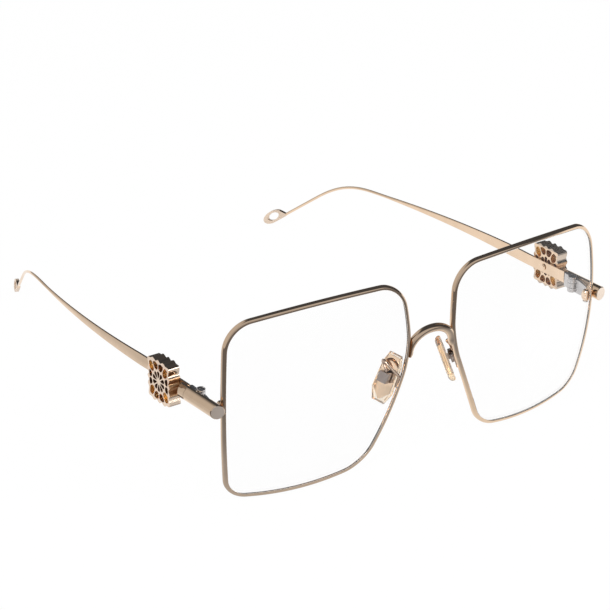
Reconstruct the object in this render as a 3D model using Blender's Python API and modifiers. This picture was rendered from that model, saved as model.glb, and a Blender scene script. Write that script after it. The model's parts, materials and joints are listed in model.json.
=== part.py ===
"""Eyeglass frame: wire rims with clear lenses, a wire bridge, rod endpieces, folding temples that each
carry an openwork medallion and end in an eyelet, and nose pads that rock. Metres, +Z up, the front
faces -Y. Each pair is modelled on the wearer's left, at +X, and mirrored. It is modelled with its lens
planes upright, and the root empty then leans it back until it stands on its rims and its eyelets."""

import math

import bmesh
import bpy
from mathutils import Matrix, Vector, geometry

MM = 0.001

# Clearances
SEAT_GAP = 0.1 * MM
RUNNING_GAP = 0.08 * MM
SCREW_FIT = 0.05 * MM

# Lens outline along the rim wire's centre, u outward from the middle and v up
LENS_WIDTH = 57.9 * MM
LENS_HEIGHT = 57.8 * MM
LENS_SPACING = 16.1 * MM
LENS_TOP = 21.5 * MM
WRAP_ANGLE = math.radians(5.4)
LENS_RADIUS = 118.4 * MM

# Where the outline's sides would meet, in from the nearest edges of its box, and how they are rounded
NASAL_TOP = (2.35 * MM, 1.15 * MM)
TEMPORAL_TOP = (1.35 * MM, 3.25 * MM)
TEMPORAL_BOTTOM = (2.95 * MM, 1.25 * MM)
NASAL_BOTTOM = (13.3 * MM, 2.9 * MM)
NASAL_MIDDLE = (-0.05 * MM, 23.0 * MM)
CORNER_BLENDS = [7.3 * MM, 7.1 * MM, 5.45 * MM, 6.05 * MM, 6.15 * MM]
SIDE_BULGES = [2.05 * MM, 2.05 * MM, 2.0 * MM, 0.65 * MM, 0.75 * MM]
CORNER_FULLNESS = 0.75
OUTLINE_STEP = 5.5 * MM
CORNER_STEPS = 7

# Rim wire and lens
RIM_WIDTH = 1.15 * MM
RIM_DEPTH = 1.5 * MM
RIM_CHAMFER = 0.25 * MM
GROOVE_DEPTH = 0.45 * MM
GROOVE_WIDTH = 1.0 * MM
LENS_THICKNESS = 1.2 * MM
LENS_INSET = 0.075 * MM

# Bridge, whose legs overlap the rims in front view and are cut to fit round them
BRIDGE_WIRE = 2.45 * MM
BRIDGE_HEIGHT = 5.9 * MM
BRIDGE_FOOT_DROP = 22.6 * MM
BRIDGE_LEG = 0.6 * MM
BRIDGE_INSET = 0.6 * MM
BRIDGE_STEPS = 20

# Endpiece rod and the short rod behind its seam
ROD_DIAMETER = 4.2 * MM
ROD_OVERHANG = 0.9 * MM
ROD_DROP = 26.35 * MM
ROD_SLOPE = math.radians(4.4)
ROD_LENGTH = 14.3 * MM
ROD_EDGE = 0.2 * MM
ROD_FACE_TURN = math.radians(13.5)
FLAT_OFFSET = 0.5 * MM
FLAT_LEAD = 0.4 * MM
TEMPLE_ROD_LENGTH = 4.9 * MM
TEMPLE_ROD_CHISEL = 1.6 * MM

# Closing block behind the rim
BLOCK_WIDTH = 2.1 * MM
BLOCK_DEPTH = 2.1 * MM
UPPER_BLOCK_HEIGHT = 2.2 * MM
LOWER_BLOCK_HEIGHT = 1.0 * MM
SPLIT_DROP = 1.55 * MM
RIM_SPLIT = 0.3 * MM
CLOSING_SHANK = 0.9 * MM
CLOSING_HEAD = 1.6 * MM
CLOSING_HEAD_HEIGHT = 0.45 * MM
CLOSING_REACH = 1.4 * MM

# Hinge
HINGE_SETBACK = 11.5 * MM
HINGE_DROP = 0.35 * MM
BARREL_DIAMETER = 2.6 * MM
BARREL_HEIGHT = 4.3 * MM
MIDDLE_KNUCKLE = 1.5 * MM
KNUCKLE_SWEEP = 0.15 * MM
LEAF_THICKNESS = 1.1 * MM
LEAF_LENGTH = 6.1 * MM
LEAF_END_HEIGHT = 3.2 * MM
TEMPLE_LEAF_LENGTH = 4.1 * MM
HINGE_SHANK = 1.1 * MM
HINGE_HEAD = 2.6 * MM
HINGE_HEAD_HEIGHT = 0.6 * MM
SLOT_WIDTH = 0.35 * MM
SLOT_DEPTH = 0.25 * MM

# Temple
BAR_THICKNESS = 0.8 * MM
BAR_HEIGHT = 3.55 * MM
BAR_EDGE = 0.12 * MM
BAR_LIFT = 0.35 * MM
EAR_WIRE = 0.9 * MM
TAPER_START = 26.0 * MM
TAPER_END = 86.0 * MM
BAR_STRAIGHT = 14.2 * MM
BOW_LENGTH = 75.6 * MM
BOW_STEPS = 14
EAR_BEND_LENGTH = 29.7 * MM
EAR_BEND_STEPS = 14
TIP_LENGTH = 14.5 * MM
PATH_STEP = 0.5 * MM
FLARE_SHARE = 0.1
FLARE_ANGLE = math.radians(-2.9)
BOW_ANGLE = math.radians(9.4)
EAR_ANGLE = math.radians(21.8)
BAR_DROP = math.radians(4.1)
BOW_DROP = math.radians(4.5)
EAR_DROP = math.radians(38.6)

# Eyelet at the temple's end: a flat hull round three circles, with its lower edge along the wire
EYELET_THICKNESS = 1.05 * MM
EYELET_NECK_RADIUS = 0.52 * MM
EYELET_MIDDLE = (5.2 * MM, 1.42 * MM)
EYELET_HALF = (4.35 * MM, 1.95 * MM)
EYELET_HOLE_MIDDLE = (5.0 * MM, 1.42 * MM)
EYELET_HOLE_HALF = (2.55 * MM, 1.1 * MM)

# Medallion and its rivet
MEDALLION_LENGTH = 11.5 * MM
MEDALLION_HEIGHT = 13.2 * MM
MEDALLION_THICKNESS = 3.6 * MM
MEDALLION_WALL = 0.75 * MM
MEDALLION_SCALLOP = 0.2 * MM
MEDALLION_SQUARENESS = 9.0
BOSS_DIAMETER = 3.0 * MM
SPOKES = 8
SPOKE_WIDTH = 0.7 * MM
SCALLOP_STEPS = 6
OPENING_STEPS = 4
MEDALLION_SETBACK = 9.55 * MM
MEDALLION_LIFT = 0.1 * MM
RIVET_SHANK = 1.3 * MM
RIVET_HEAD = 2.0 * MM
RIVET_HEAD_HEIGHT = 0.35 * MM

# Nose pads
PAD_X = 10.3 * MM
PAD_Y = 9.6 * MM
PAD_DROP = 32.3 * MM
PAD_SPLAY = math.radians(22.0)
PAD_TILT = math.radians(9.5)
PAD_LEAN = math.radians(21.0)
PAD_LENGTH = 14.8 * MM
PAD_WIDTH = 6.6 * MM
PAD_THICKNESS = 2.0 * MM
PAD_END_WIDTH = 3.9 * MM
PAD_SHOULDER = 3.3 * MM
PAD_SHOULDER_INSET = 0.3 * MM
PAD_TOE = 3.5 * MM
PAD_SECTION = [(2.2, -1.0), (1.1, -0.9), (0.35, -0.5), (0.0, 0.1), (0.0, 0.7), (0.25, 1.0)]
PLATE_INSET = 0.7 * MM
PLATE_THICKNESS = 0.5 * MM
PIVOT_RISE = 1.3 * MM
PIVOT_LIFT = 0.4 * MM
LUG_THICKNESS = 1.1 * MM
LUG_RADIUS = 0.75 * MM
PAD_SHANK = 0.8 * MM
PAD_HEAD = 1.7 * MM
PAD_HEAD_HEIGHT = 0.55 * MM
BOX_WALL = 0.8 * MM
BOX_HEIGHT = 3.0 * MM
BOX_SKIRT = 0.7 * MM
ARM_WIRE = 0.9 * MM
ARM_ROOT_DROP = 29.8 * MM
ARM_ROOT_LENGTH = 3.0 * MM
ARM_RISE = 4.7 * MM
ARM_HOOK = 2.2 * MM
ARM_OFFSET = 0.65 * MM
ARM_FOOT = 0.6 * MM
ARM_STEPS = 5

ROUND_SIDES = 32
SMALL_SIDES = 20


# Scene
def clear_scene():
    for obj in list(bpy.data.objects):
        bpy.data.objects.remove(obj)


def new_collection(name):
    collection = bpy.data.collections.new(name)
    bpy.context.scene.collection.children.link(collection)
    return collection


def material(name, colour, roughness, metallic, alpha=1.0):
    mat = bpy.data.materials.new(name)
    mat.use_nodes = True
    shader = mat.node_tree.nodes["Principled BSDF"]
    shader.inputs["Base Color"].default_value = (*colour, 1.0)
    shader.inputs["Roughness"].default_value = roughness
    shader.inputs["Metallic"].default_value = metallic
    shader.inputs["Alpha"].default_value = alpha
    return mat


def empty(name, parent, location):
    obj = bpy.data.objects.new(name, None)
    obj.empty_display_size = 5 * MM
    obj.parent = parent
    obj.location = location
    PARTS.objects.link(obj)
    return obj


# Shapes
def baked(obj):
    """The mesh that an object evaluates to, with its points welded; the object is removed."""
    bpy.context.view_layer.update()
    graph = bpy.context.evaluated_depsgraph_get()
    mesh = bpy.data.meshes.new_from_object(obj.evaluated_get(graph))
    mesh.transform(obj.matrix_world)
    bm = bmesh.new()
    bm.from_mesh(mesh)
    bmesh.ops.remove_doubles(bm, verts=bm.verts, dist=0.001 * MM)
    bm.to_mesh(mesh)
    bm.free()
    bpy.data.objects.remove(obj)
    return mesh


def helper(name, data):
    obj = bpy.data.objects.new(name, data)
    obj.hide_render = True
    obj.display_type = "WIRE"
    CUTTERS.objects.link(obj)
    return obj


def combined(mesh, joined=(), cut=()):
    """The mesh with the joined meshes added and the cut meshes taken away."""
    body = helper("body", mesh)
    tools = []
    for operation, shapes in (("UNION", joined), ("DIFFERENCE", cut)):
        for shape in shapes:
            tool = helper("tool", shape)
            modifier = body.modifiers.new(operation.lower(), "BOOLEAN")
            modifier.operation = operation
            modifier.object = tool
            tools.append(tool)
    result = baked(body)
    for tool in tools:
        bpy.data.objects.remove(tool)
    return result


def finished(bm, name):
    bmesh.ops.recalc_face_normals(bm, faces=bm.faces)
    mesh = bpy.data.meshes.new(name)
    bm.to_mesh(mesh)
    bm.free()
    return mesh


def box(low, high):
    bm = bmesh.new()
    size = Vector(high) - Vector(low)
    bmesh.ops.create_cube(bm, size=1.0)
    bmesh.ops.scale(bm, vec=size, verts=bm.verts)
    bmesh.ops.translate(bm, vec=Vector(low) + size / 2, verts=bm.verts)
    return finished(bm, "box")


def cylinder(start, end, diameter, sides=ROUND_SIDES):
    start, end = Vector(start), Vector(end)
    along = end - start
    turn = along.to_track_quat("Z", "Y").to_matrix().to_4x4()
    place = Matrix.Translation((start + end) / 2) @ turn
    bm = bmesh.new()
    bmesh.ops.create_cone(
        bm, cap_ends=True, segments=sides, radius1=diameter / 2, radius2=diameter / 2,
        depth=along.length, matrix=place,
    )
    return finished(bm, "cylinder")


def turned(profile, sides=SMALL_SIDES):
    """Spins (radius, height) points, listed from the top down, round Z."""
    mesh = bpy.data.meshes.new("profile")
    points = [(radius, 0.0, height) for radius, height in profile]
    mesh.from_pydata(points, [(i, i + 1) for i in range(len(points) - 1)], [])
    spun = helper("turned", mesh)
    screw = spun.modifiers.new("screw", "SCREW")
    screw.steps = screw.render_steps = sides
    screw.use_merge_vertices = True
    screw.merge_threshold = 0.001 * MM
    bm = bmesh.new()
    bm.from_mesh(baked(spun))
    return finished(bm, "turned")


def flat_shape(outline, thickness, holes=()):
    """A flat outline with holes, in XY, centred on z 0."""
    curve = bpy.data.curves.new("outline", "CURVE")
    curve.dimensions = "2D"
    curve.fill_mode = "BOTH"
    curve.extrude = thickness / 2
    for loop in (outline, *holes):
        spline = curve.splines.new("POLY")
        spline.points.add(len(loop) - 1)
        spline.use_cyclic_u = True
        for point, (x, y) in zip(spline.points, loop):
            point.co = (x, y, 0.0, 1.0)
    bm = bmesh.new()
    bm.from_mesh(baked(helper("flat", curve)))
    return finished(bm, "flat")


def wire_shape(path, diameter):
    curve = bpy.data.curves.new("wire", "CURVE")
    curve.dimensions = "3D"
    curve.bevel_depth = diameter / 2
    curve.bevel_resolution = 3
    curve.use_fill_caps = True
    spline = curve.splines.new("POLY")
    spline.points.add(len(path) - 1)
    for point, place in zip(spline.points, path):
        point.co = (*place, 1.0)
    bm = bmesh.new()
    bm.from_mesh(baked(helper("wire", curve)))
    return finished(bm, "wire")


def lofted(sections, closed=False):
    """Joins rings of as many points each, with flat ends unless the rings close on themselves."""
    bm = bmesh.new()
    rings = [[bm.verts.new(point) for point in section] for section in sections]
    count = len(rings[0])
    pairs = list(zip(rings, rings[1:]))
    if closed:
        pairs.append((rings[-1], rings[0]))
    else:
        bm.faces.new(rings[0])
        bm.faces.new(rings[-1])
    for ring, following in pairs:
        for i in range(count):
            j = (i + 1) % count
            bm.faces.new((ring[i], ring[j], following[j], following[i]))
    return finished(bm, "loft")


def smooth_path(points, steps):
    """Points of a Catmull-Rom curve through the given ones."""
    ends = [points[0] * 2 - points[1], *points, points[-1] * 2 - points[-2]]
    path = []
    for p0, p1, p2, p3 in zip(ends, ends[1:], ends[2:], ends[3:]):
        for step in range(steps):
            t = step / steps
            path.append(
                0.5 * (2 * p1 + (p2 - p0) * t + (2 * p0 - 5 * p1 + 4 * p2 - p3) * t * t
                       + (3 * p1 - p0 - 3 * p2 + p3) * t * t * t)
            )
    path.append(points[-1].copy())
    return path


def circle_points(centre, radius, count=SMALL_SIDES):
    angles = [math.tau * i / count for i in range(count)]
    return [(centre[0] + radius * math.cos(a), centre[1] + radius * math.sin(a)) for a in angles]


def ellipse_points(centre, half):
    """Points of an ellipse, from its middle and half sizes."""
    return [(centre[0] + half[0] * x, centre[1] + half[1] * y) for x, y in circle_points((0.0, 0.0), 1.0)]


def hull(points):
    return [points[i] for i in geometry.convex_hull_2d([Vector(p) for p in points])]


# Pieces in the scene
def add_piece(name, mesh, origin, parent, mat):
    """Adds a piece whose mesh is in the front's frame; its object sits at the origin given."""
    parent_place = PLACES[parent.name]
    mesh.transform(Matrix.Translation(-origin))
    mesh.name = name
    mesh.materials.clear()
    mesh.materials.append(mat)
    mesh.shade_smooth()
    mesh.set_sharp_from_angle(angle=math.radians(35.0))
    obj = bpy.data.objects.new(name, mesh)
    obj.parent = parent
    obj.location = origin - parent_place
    PARTS.objects.link(obj)
    return obj


def mirrored(mesh):
    copy = mesh.copy()
    copy.transform(Matrix.Scale(-1.0, 4, (1.0, 0.0, 0.0)))
    copy.flip_normals()
    return copy


def add_pair(name, mesh, origin, parents, mat):
    """The piece for the wearer's left and its mirror image for the right."""
    twin = mirrored(mesh)
    add_piece("left_" + name, mesh, Vector(origin), parents[0], mat)
    mirror_origin = Vector((-origin[0], origin[1], origin[2]))
    add_piece("right_" + name, twin, mirror_origin, parents[1], mat)


def add_axis_pair(name, place):
    pair = []
    for side, x in (("left_", place[0]), ("right_", -place[0])):
        spot = Vector((x, place[1], place[2]))
        axis = empty(side + name, ROOT, spot)
        PLACES[axis.name] = spot
        pair.append(axis)
    return pair


# Lens outline
def outline_corners():
    nasal = LENS_SPACING / 2
    temporal = nasal + LENS_WIDTH
    bottom = LENS_TOP - LENS_HEIGHT
    return [
        Vector((nasal + NASAL_TOP[0], LENS_TOP - NASAL_TOP[1])),
        Vector((temporal - TEMPORAL_TOP[0], LENS_TOP - TEMPORAL_TOP[1])),
        Vector((temporal - TEMPORAL_BOTTOM[0], bottom + TEMPORAL_BOTTOM[1])),
        Vector((nasal + NASAL_BOTTOM[0], bottom + NASAL_BOTTOM[1])),
        Vector((nasal + NASAL_MIDDLE[0], LENS_TOP - NASAL_MIDDLE[1])),
    ]


def side_point(start, end, bulge, t):
    """A point of a bowed side and its direction there."""
    along = end - start
    out = Vector((-along.y, along.x)).normalized()
    return start + along * t + out * (4 * t * (1 - t) * bulge), along + out * (4 * (1 - 2 * t) * bulge)


def lens_outline():
    """The outline's points, clockwise as the front sees the wearer's left lens."""
    corners = outline_corners()
    count = len(corners)
    points = []
    for i in range(count):
        start, end, after = corners[i], corners[(i + 1) % count], corners[(i + 2) % count]
        length, next_length = (end - start).length, (after - end).length
        blend = CORNER_BLENDS[(i + 1) % count]
        t0, t1 = CORNER_BLENDS[i] / length, 1 - blend / length
        steps = max(2, round((t1 - t0) * length / OUTLINE_STEP))
        for step in range(steps + 1):
            point, leaving = side_point(start, end, SIDE_BULGES[i], t0 + (t1 - t0) * step / steps)
            points.append(point)
        arrive, entering = side_point(end, after, SIDE_BULGES[(i + 1) % count], blend / next_length)
        gap = arrive - point
        reach = (gap.x * entering.y - gap.y * entering.x) / (leaving.x * entering.y - leaving.y * entering.x)
        control = point + leaving * reach
        for step in range(1, CORNER_STEPS):
            s = step / CORNER_STEPS
            weights = ((1 - s) ** 2, 2 * s * (1 - s) * CORNER_FULLNESS, s * s)
            total = sum(weights)
            points.append((point * weights[0] + control * weights[1] + arrive * weights[2]) / total)
    return points


def dished(u, v, depth=0.0):
    """A point of the lens plane, set back by the lens's curve and turned by the wrap."""
    corners = outline_corners()
    centre = sum(corners, Vector((0.0, 0.0))) / len(corners)
    back = ((u - centre.x) ** 2 + (v - centre.y) ** 2) / (2 * LENS_RADIUS) + depth
    x = u * math.cos(WRAP_ANGLE) - back * math.sin(WRAP_ANGLE)
    y = u * math.sin(WRAP_ANGLE) + back * math.cos(WRAP_ANGLE)
    return Vector((x, y, v))


def outline_crossing(points, height, temporal):
    """Where the outline crosses a height on its temporal or nasal side: the index and the point."""
    found = []
    for i, start in enumerate(points):
        end = points[(i + 1) % len(points)]
        if (start.y - height) * (end.y - height) < 0:
            t = (height - start.y) / (end.y - start.y)
            found.append((start.x + (end.x - start.x) * t, i))
    u, index = max(found) if temporal else min(found)
    return index, Vector((u, height))


def nasal_rim(height):
    _, point = outline_crossing(lens_outline(), height, temporal=False)
    return dished(point.x, point.y)


# Rim, lens and bridge
def outline_rings(loop, section, closed):
    """The section, given as (across, depth) points, square to each point of the loop."""
    rings = []
    last = len(loop) - 1
    for i, point in enumerate(loop):
        before = loop[i - 1] if closed or i > 0 else point
        after = loop[(i + 1) % len(loop)] if closed or i < last else point
        along = (after - before).normalized()
        out = Vector((-along.y, along.x))
        turn = 1.0
        if before is not point and after is not point:
            turn = 1 / math.cos((after - point).angle(point - before) / 2)
        rings.append([dished(*(point + out * across * turn), depth) for across, depth in section])
    return rings


def rim_mesh(split_height):
    """A grooved wire round the outline, open at the split, then bent to the lens's curve."""
    points = lens_outline()
    below, lower_end = outline_crossing(points, split_height - RIM_SPLIT / 2, temporal=True)
    above, upper_end = outline_crossing(points, split_height + RIM_SPLIT / 2, temporal=True)
    loop = [lower_end]
    index = (below + 1) % len(points)
    while index != above:
        loop.append(points[index])
        index = (index + 1) % len(points)
    loop.extend((points[above], upper_end))
    half, deep, edge, groove = RIM_WIDTH / 2, RIM_DEPTH / 2, RIM_CHAMFER, GROOVE_WIDTH / 2
    section = [
        (-half, -groove), (-half, -deep + edge), (-half + edge, -deep), (half - edge, -deep),
        (half, -deep + edge), (half, deep - edge), (half - edge, deep), (-half + edge, deep),
        (-half, deep - edge), (-half, groove), (-half + GROOVE_DEPTH, 0.0),
    ]
    return lofted(outline_rings(loop, section, closed=False))


def rim_sleeve():
    """The room that a rim takes, with its seat gap, as a closed ring."""
    half, deep = RIM_WIDTH / 2 + SEAT_GAP, RIM_DEPTH / 2 + SEAT_GAP
    section = [(-half, -deep), (half, -deep), (half, deep), (-half, deep)]
    return lofted(outline_rings(lens_outline(), section, closed=True), closed=True)


def lens_mesh():
    """The lens as rings that shrink from its bevelled edge to its middle, on both faces."""
    points = lens_outline()
    count = len(points)
    corners = outline_corners()
    centre = sum(corners, Vector((0.0, 0.0))) / len(corners)
    normals = []
    for i, point in enumerate(points):
        along = (points[(i + 1) % count] - points[i - 1]).normalized()
        normals.append(Vector((-along.y, along.x)))
    half = LENS_THICKNESS / 2
    body = -RIM_WIDTH / 2 - LENS_INSET
    bevel = GROOVE_WIDTH / 2 - LENS_INSET
    rings = []

    def ring(inward, share, depth):
        edge = [point + normal * inward for point, normal in zip(points, normals)]
        inner = [centre + (spot - centre) * share for spot in edge]
        rings.append([dished(spot.x, spot.y, depth) for spot in inner])

    shares = (0.2, 0.55, 0.85)
    for share in shares:
        ring(body, share, -half)
    ring(body, 1.0, -half)
    ring(body, 1.0, -bevel)
    ring(body + GROOVE_DEPTH, 1.0, 0.0)
    ring(body, 1.0, bevel)
    ring(body, 1.0, half)
    for share in reversed(shares):
        ring(body, share, half)
    return lofted(rings)


def bridge_mesh():
    """Half an ellipse on two short straight legs, with both rims' room cut out of the legs."""
    foot = LENS_TOP - BRIDGE_FOOT_DROP
    rim = nasal_rim(foot)
    half_width = rim.x - BRIDGE_INSET
    path = [Vector((-half_width, rim.y, foot - BRIDGE_LEG))]
    for step in range(BRIDGE_STEPS + 1):
        angle = math.pi * (1 - step / BRIDGE_STEPS)
        rise = BRIDGE_HEIGHT * math.sin(angle)
        path.append(Vector((half_width * math.cos(angle), rim.y, foot + rise)))
    path.append(Vector((half_width, rim.y, foot - BRIDGE_LEG)))
    sleeve = rim_sleeve()
    arch = combined(wire_shape(path, BRIDGE_WIRE), cut=[sleeve, mirrored(sleeve)])
    return arch, Vector((0.0, rim.y, foot + BRIDGE_HEIGHT))


# Endpiece, temple rod and hinge
def rod_axis(y):
    """The rod axis's point at a distance behind the rod's front face."""
    return ROD_FRONT + Vector((0.0, y, -y * math.tan(ROD_SLOPE)))


def flat_cutter(start, end):
    """Takes the rod's inner side away, from one distance behind its front to another."""
    low, high = rod_axis(start), rod_axis(end)
    return box(
        (FLAT_X - ROD_DIAMETER, low.y, high.z - ROD_DIAMETER),
        (FLAT_X, high.y, low.z + ROD_DIAMETER),
    )


def endpiece_mesh():
    """The rod with its front face turned outward and its inner side flat where the hinge lies."""
    radius = ROD_DIAMETER / 2
    length = ROD_LENGTH / math.cos(ROD_SLOPE)
    rod = turned([
        (0.0, 0.0), (radius - ROD_EDGE, 0.0), (radius, -ROD_EDGE), (radius, -length), (0.0, -length),
    ], ROUND_SIDES)
    rod.transform(Matrix.Translation(ROD_FRONT) @ Matrix.Rotation(math.pi / 2 - ROD_SLOPE, 4, "X"))
    for vertex in rod.vertices:
        if vertex.co.y < ROD_FRONT.y + radius:
            vertex.co.y += (vertex.co.x - ROD_X) * math.tan(ROD_FACE_TURN)
    flat_start = HINGE_SETBACK - LEAF_LENGTH - FLAT_LEAD
    return combined(rod, cut=[flat_cutter(flat_start, ROD_LENGTH + ROD_DIAMETER)])


def temple_rod_mesh():
    """The rod behind the seam, flat on its inner side and cut off aslant at its rear."""
    start = ROD_LENGTH + SEAT_GAP
    end = start + TEMPLE_ROD_LENGTH
    rod = cylinder(rod_axis(start), rod_axis(end), ROD_DIAMETER)
    chisel = box((0.0, 0.0, -ROD_DIAMETER), (2 * ROD_DIAMETER, 2 * ROD_DIAMETER, ROD_DIAMETER))
    chord = ROD_DIAMETER / 2 + FLAT_OFFSET
    slant = Matrix.Rotation(math.atan2(TEMPLE_ROD_CHISEL, chord), 4, "Z").inverted()
    corner = rod_axis(end)
    place = Matrix.Translation((FLAT_X - BAR_THICKNESS, corner.y, corner.z))
    chisel.transform(place @ slant)
    return combined(rod, cut=[flat_cutter(start - ROD_DIAMETER, end + ROD_DIAMETER), chisel])


def upright(x, y, z, height, diameter):
    return cylinder((x, y, z - height / 2), (x, y, z + height / 2), diameter, SMALL_SIDES)


def leaf_shape(profile):
    """A leaf of (y, z) points about the hinge's screw, in the layer against the rod's flat."""
    shape = flat_shape(profile, LEAF_THICKNESS)
    upright_plane = Matrix(((0, 0, 1, 0), (1, 0, 0, 0), (0, 1, 0, 0), (0, 0, 0, 1)))
    x = FLAT_X - SEAT_GAP - LEAF_THICKNESS / 2
    shape.transform(Matrix.Translation((x, HINGE.y, HINGE.z)) @ upright_plane)
    return shape


def front_hinge_mesh():
    high, low = BARREL_HEIGHT / 2, LEAF_END_HEIGHT / 2
    taper = LEAF_LENGTH / 2
    leaf = leaf_shape([(0.0, high), (-taper, high), (-LEAF_LENGTH, low), (-LEAF_LENGTH, -low),
                       (-taper, -high), (0.0, -high)])
    barrel = upright(HINGE.x, HINGE.y, HINGE.z, BARREL_HEIGHT, BARREL_DIAMETER)
    slot = upright(HINGE.x, HINGE.y, HINGE.z, MIDDLE_KNUCKLE + 2 * RUNNING_GAP,
                   BARREL_DIAMETER + 2 * KNUCKLE_SWEEP)
    bore = upright(HINGE.x, HINGE.y, HINGE.z, 2 * BARREL_HEIGHT, HINGE_SHANK + 2 * SCREW_FIT)
    return combined(leaf, joined=[barrel], cut=[slot, bore])


def temple_hinge_mesh():
    high = BARREL_HEIGHT / 2
    rear = TEMPLE_LEAF_LENGTH - LEAF_THICKNESS / 2
    leaf = leaf_shape([(0.0, high), (rear, high), (rear, -high), (0.0, -high)])
    x = FLAT_X - SEAT_GAP - LEAF_THICKNESS / 2
    rounded = upright(x, HINGE.y + rear, HINGE.z, BARREL_HEIGHT, LEAF_THICKNESS)
    barrel = upright(HINGE.x, HINGE.y, HINGE.z, MIDDLE_KNUCKLE, BARREL_DIAMETER)
    shift = (MIDDLE_KNUCKLE + BARREL_HEIGHT) / 2
    swept = BARREL_DIAMETER + 2 * KNUCKLE_SWEEP
    above = upright(HINGE.x, HINGE.y, HINGE.z + shift, BARREL_HEIGHT, swept)
    below = upright(HINGE.x, HINGE.y, HINGE.z - shift, BARREL_HEIGHT, swept)
    bore = upright(HINGE.x, HINGE.y, HINGE.z, 2 * BARREL_HEIGHT, HINGE_SHANK + 2 * SCREW_FIT)
    return combined(leaf, joined=[rounded, barrel], cut=[above, below, bore])


def slotted_screw(shank, length, head, head_height):
    """A screw with its shank down from z 0 and a slotted, slightly domed head above."""
    dome = head_height / 4
    screw = turned([
        (0.0, head_height), (head / 4, head_height), (head / 2 - dome, head_height - dome / 3),
        (head / 2, head_height - dome), (head / 2, 0.0), (shank / 2, 0.0),
        (shank / 2, -length), (0.0, -length),
    ])
    slot = box((-head, -SLOT_WIDTH / 2, head_height - SLOT_DEPTH), (head, SLOT_WIDTH / 2, head))
    return combined(screw, cut=[slot])


def hinge_screw_mesh():
    screw = slotted_screw(HINGE_SHANK, BARREL_HEIGHT + SEAT_GAP, HINGE_HEAD, HINGE_HEAD_HEIGHT)
    top = HINGE + Vector((0.0, 0.0, BARREL_HEIGHT / 2 + SEAT_GAP))
    screw.transform(Matrix.Translation(top))
    return screw


# Closing block
def block_place():
    """The block's middle in plan, behind the rim and against the rod, at the split's height."""
    _, edge = outline_crossing(lens_outline(), SPLIT_HEIGHT, temporal=True)
    rim = dished(edge.x, edge.y)
    outer = ROD_FRONT.x - ROD_DIAMETER / 2 - SEAT_GAP
    y = rim.y + RIM_DEPTH / 2 + 2 * SEAT_GAP + BLOCK_DEPTH / 2
    return Vector((outer - BLOCK_WIDTH / 2, y, SPLIT_HEIGHT))


def closing_block_mesh(low, high, hole):
    """One half of the block between two heights over the split, with an upright hole."""
    middle = block_place()
    half = Vector((BLOCK_WIDTH / 2, BLOCK_DEPTH / 2, 0.0))
    block = box(middle - half + Vector((0.0, 0.0, low)), middle + half + Vector((0.0, 0.0, high)))
    bore = upright(middle.x, middle.y, middle.z, 2 * hole[0], hole[1])
    return combined(block, cut=[bore])


def closing_screw_mesh():
    reach = SEAT_GAP + LOWER_BLOCK_HEIGHT + SEAT_GAP + CLOSING_REACH
    screw = slotted_screw(CLOSING_SHANK, reach, CLOSING_HEAD, CLOSING_HEAD_HEIGHT)
    bottom = block_place() - Vector((0.0, 0.0, SEAT_GAP / 2 + LOWER_BLOCK_HEIGHT + SEAT_GAP))
    screw.transform(Matrix.Translation(bottom) @ Matrix.Rotation(math.pi, 4, "X"))
    return screw


# Temple
def eased(value):
    value = min(1.0, max(0.0, value))
    return value * value * (3 - 2 * value)


def temple_frames():
    """Stations along the temple: distance, point, outward side, up and forward directions."""
    bend_start = BAR_STRAIGHT + BOW_LENGTH
    length = bend_start + EAR_BEND_LENGTH + TIP_LENGTH
    stops = [0.0, BAR_STRAIGHT]
    stops += [BAR_STRAIGHT + BOW_LENGTH * (i + 1) / BOW_STEPS for i in range(BOW_STEPS)]
    stops += [bend_start + EAR_BEND_LENGTH * (i + 1) / EAR_BEND_STEPS for i in range(EAR_BEND_STEPS)]
    stops += [length]
    point = TEMPLE_START.copy()
    frames = []
    travelled = 0.0

    def heading(distance):
        """The bar's direction and its outward side: a flare, an inward bow, then the ear's bend."""
        bow = min(1.0, max(0.0, (distance - BAR_STRAIGHT) / BOW_LENGTH))
        turn = eased((distance - bend_start) / EAR_BEND_LENGTH)
        inward = eased(bow / FLARE_SHARE) * FLARE_ANGLE + (BOW_ANGLE - FLARE_ANGLE) * bow
        inward += (EAR_ANGLE - BOW_ANGLE) * turn
        drop = BAR_DROP + (BOW_DROP - BAR_DROP) * bow + (EAR_DROP - BOW_DROP) * turn
        level = math.cos(drop)
        ahead = Vector((-math.sin(inward) * level, math.cos(inward) * level, -math.sin(drop)))
        side = Vector((math.cos(inward), math.sin(inward), 0.0))
        return ahead, side

    for stop in stops:
        while stop - travelled > MM / 1000:
            step = min(PATH_STEP, stop - travelled)
            point = point + heading(travelled + step / 2)[0] * step
            travelled += step
        ahead, side = heading(stop)
        frames.append((stop, point.copy(), side, side.cross(ahead), ahead))
    return frames


def temple_section(distance, point, side, up):
    """Eight points: a flat bar with eased edges that turns into a round wire along the taper."""
    share = min(1.0, max(0.0, (distance - TAPER_START) / (TAPER_END - TAPER_START)))
    high = BAR_HEIGHT + (EAR_WIRE - BAR_HEIGHT) * share
    wide = BAR_THICKNESS + (EAR_WIRE - BAR_THICKNESS) * share
    edge = BAR_EDGE + (EAR_WIRE * (1 - math.tan(math.pi / 8)) / 2 - BAR_EDGE) * share
    corners = []
    for sx, sz in ((1, 1), (-1, 1), (-1, -1), (1, -1)):
        tall = (sx * (wide / 2), sz * (high / 2 - edge))
        broad = (sx * (wide / 2 - edge), sz * (high / 2))
        corners += [tall, broad] if sx * sz > 0 else [broad, tall]
    return [point + side * x + up * z for x, z in corners]


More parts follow.
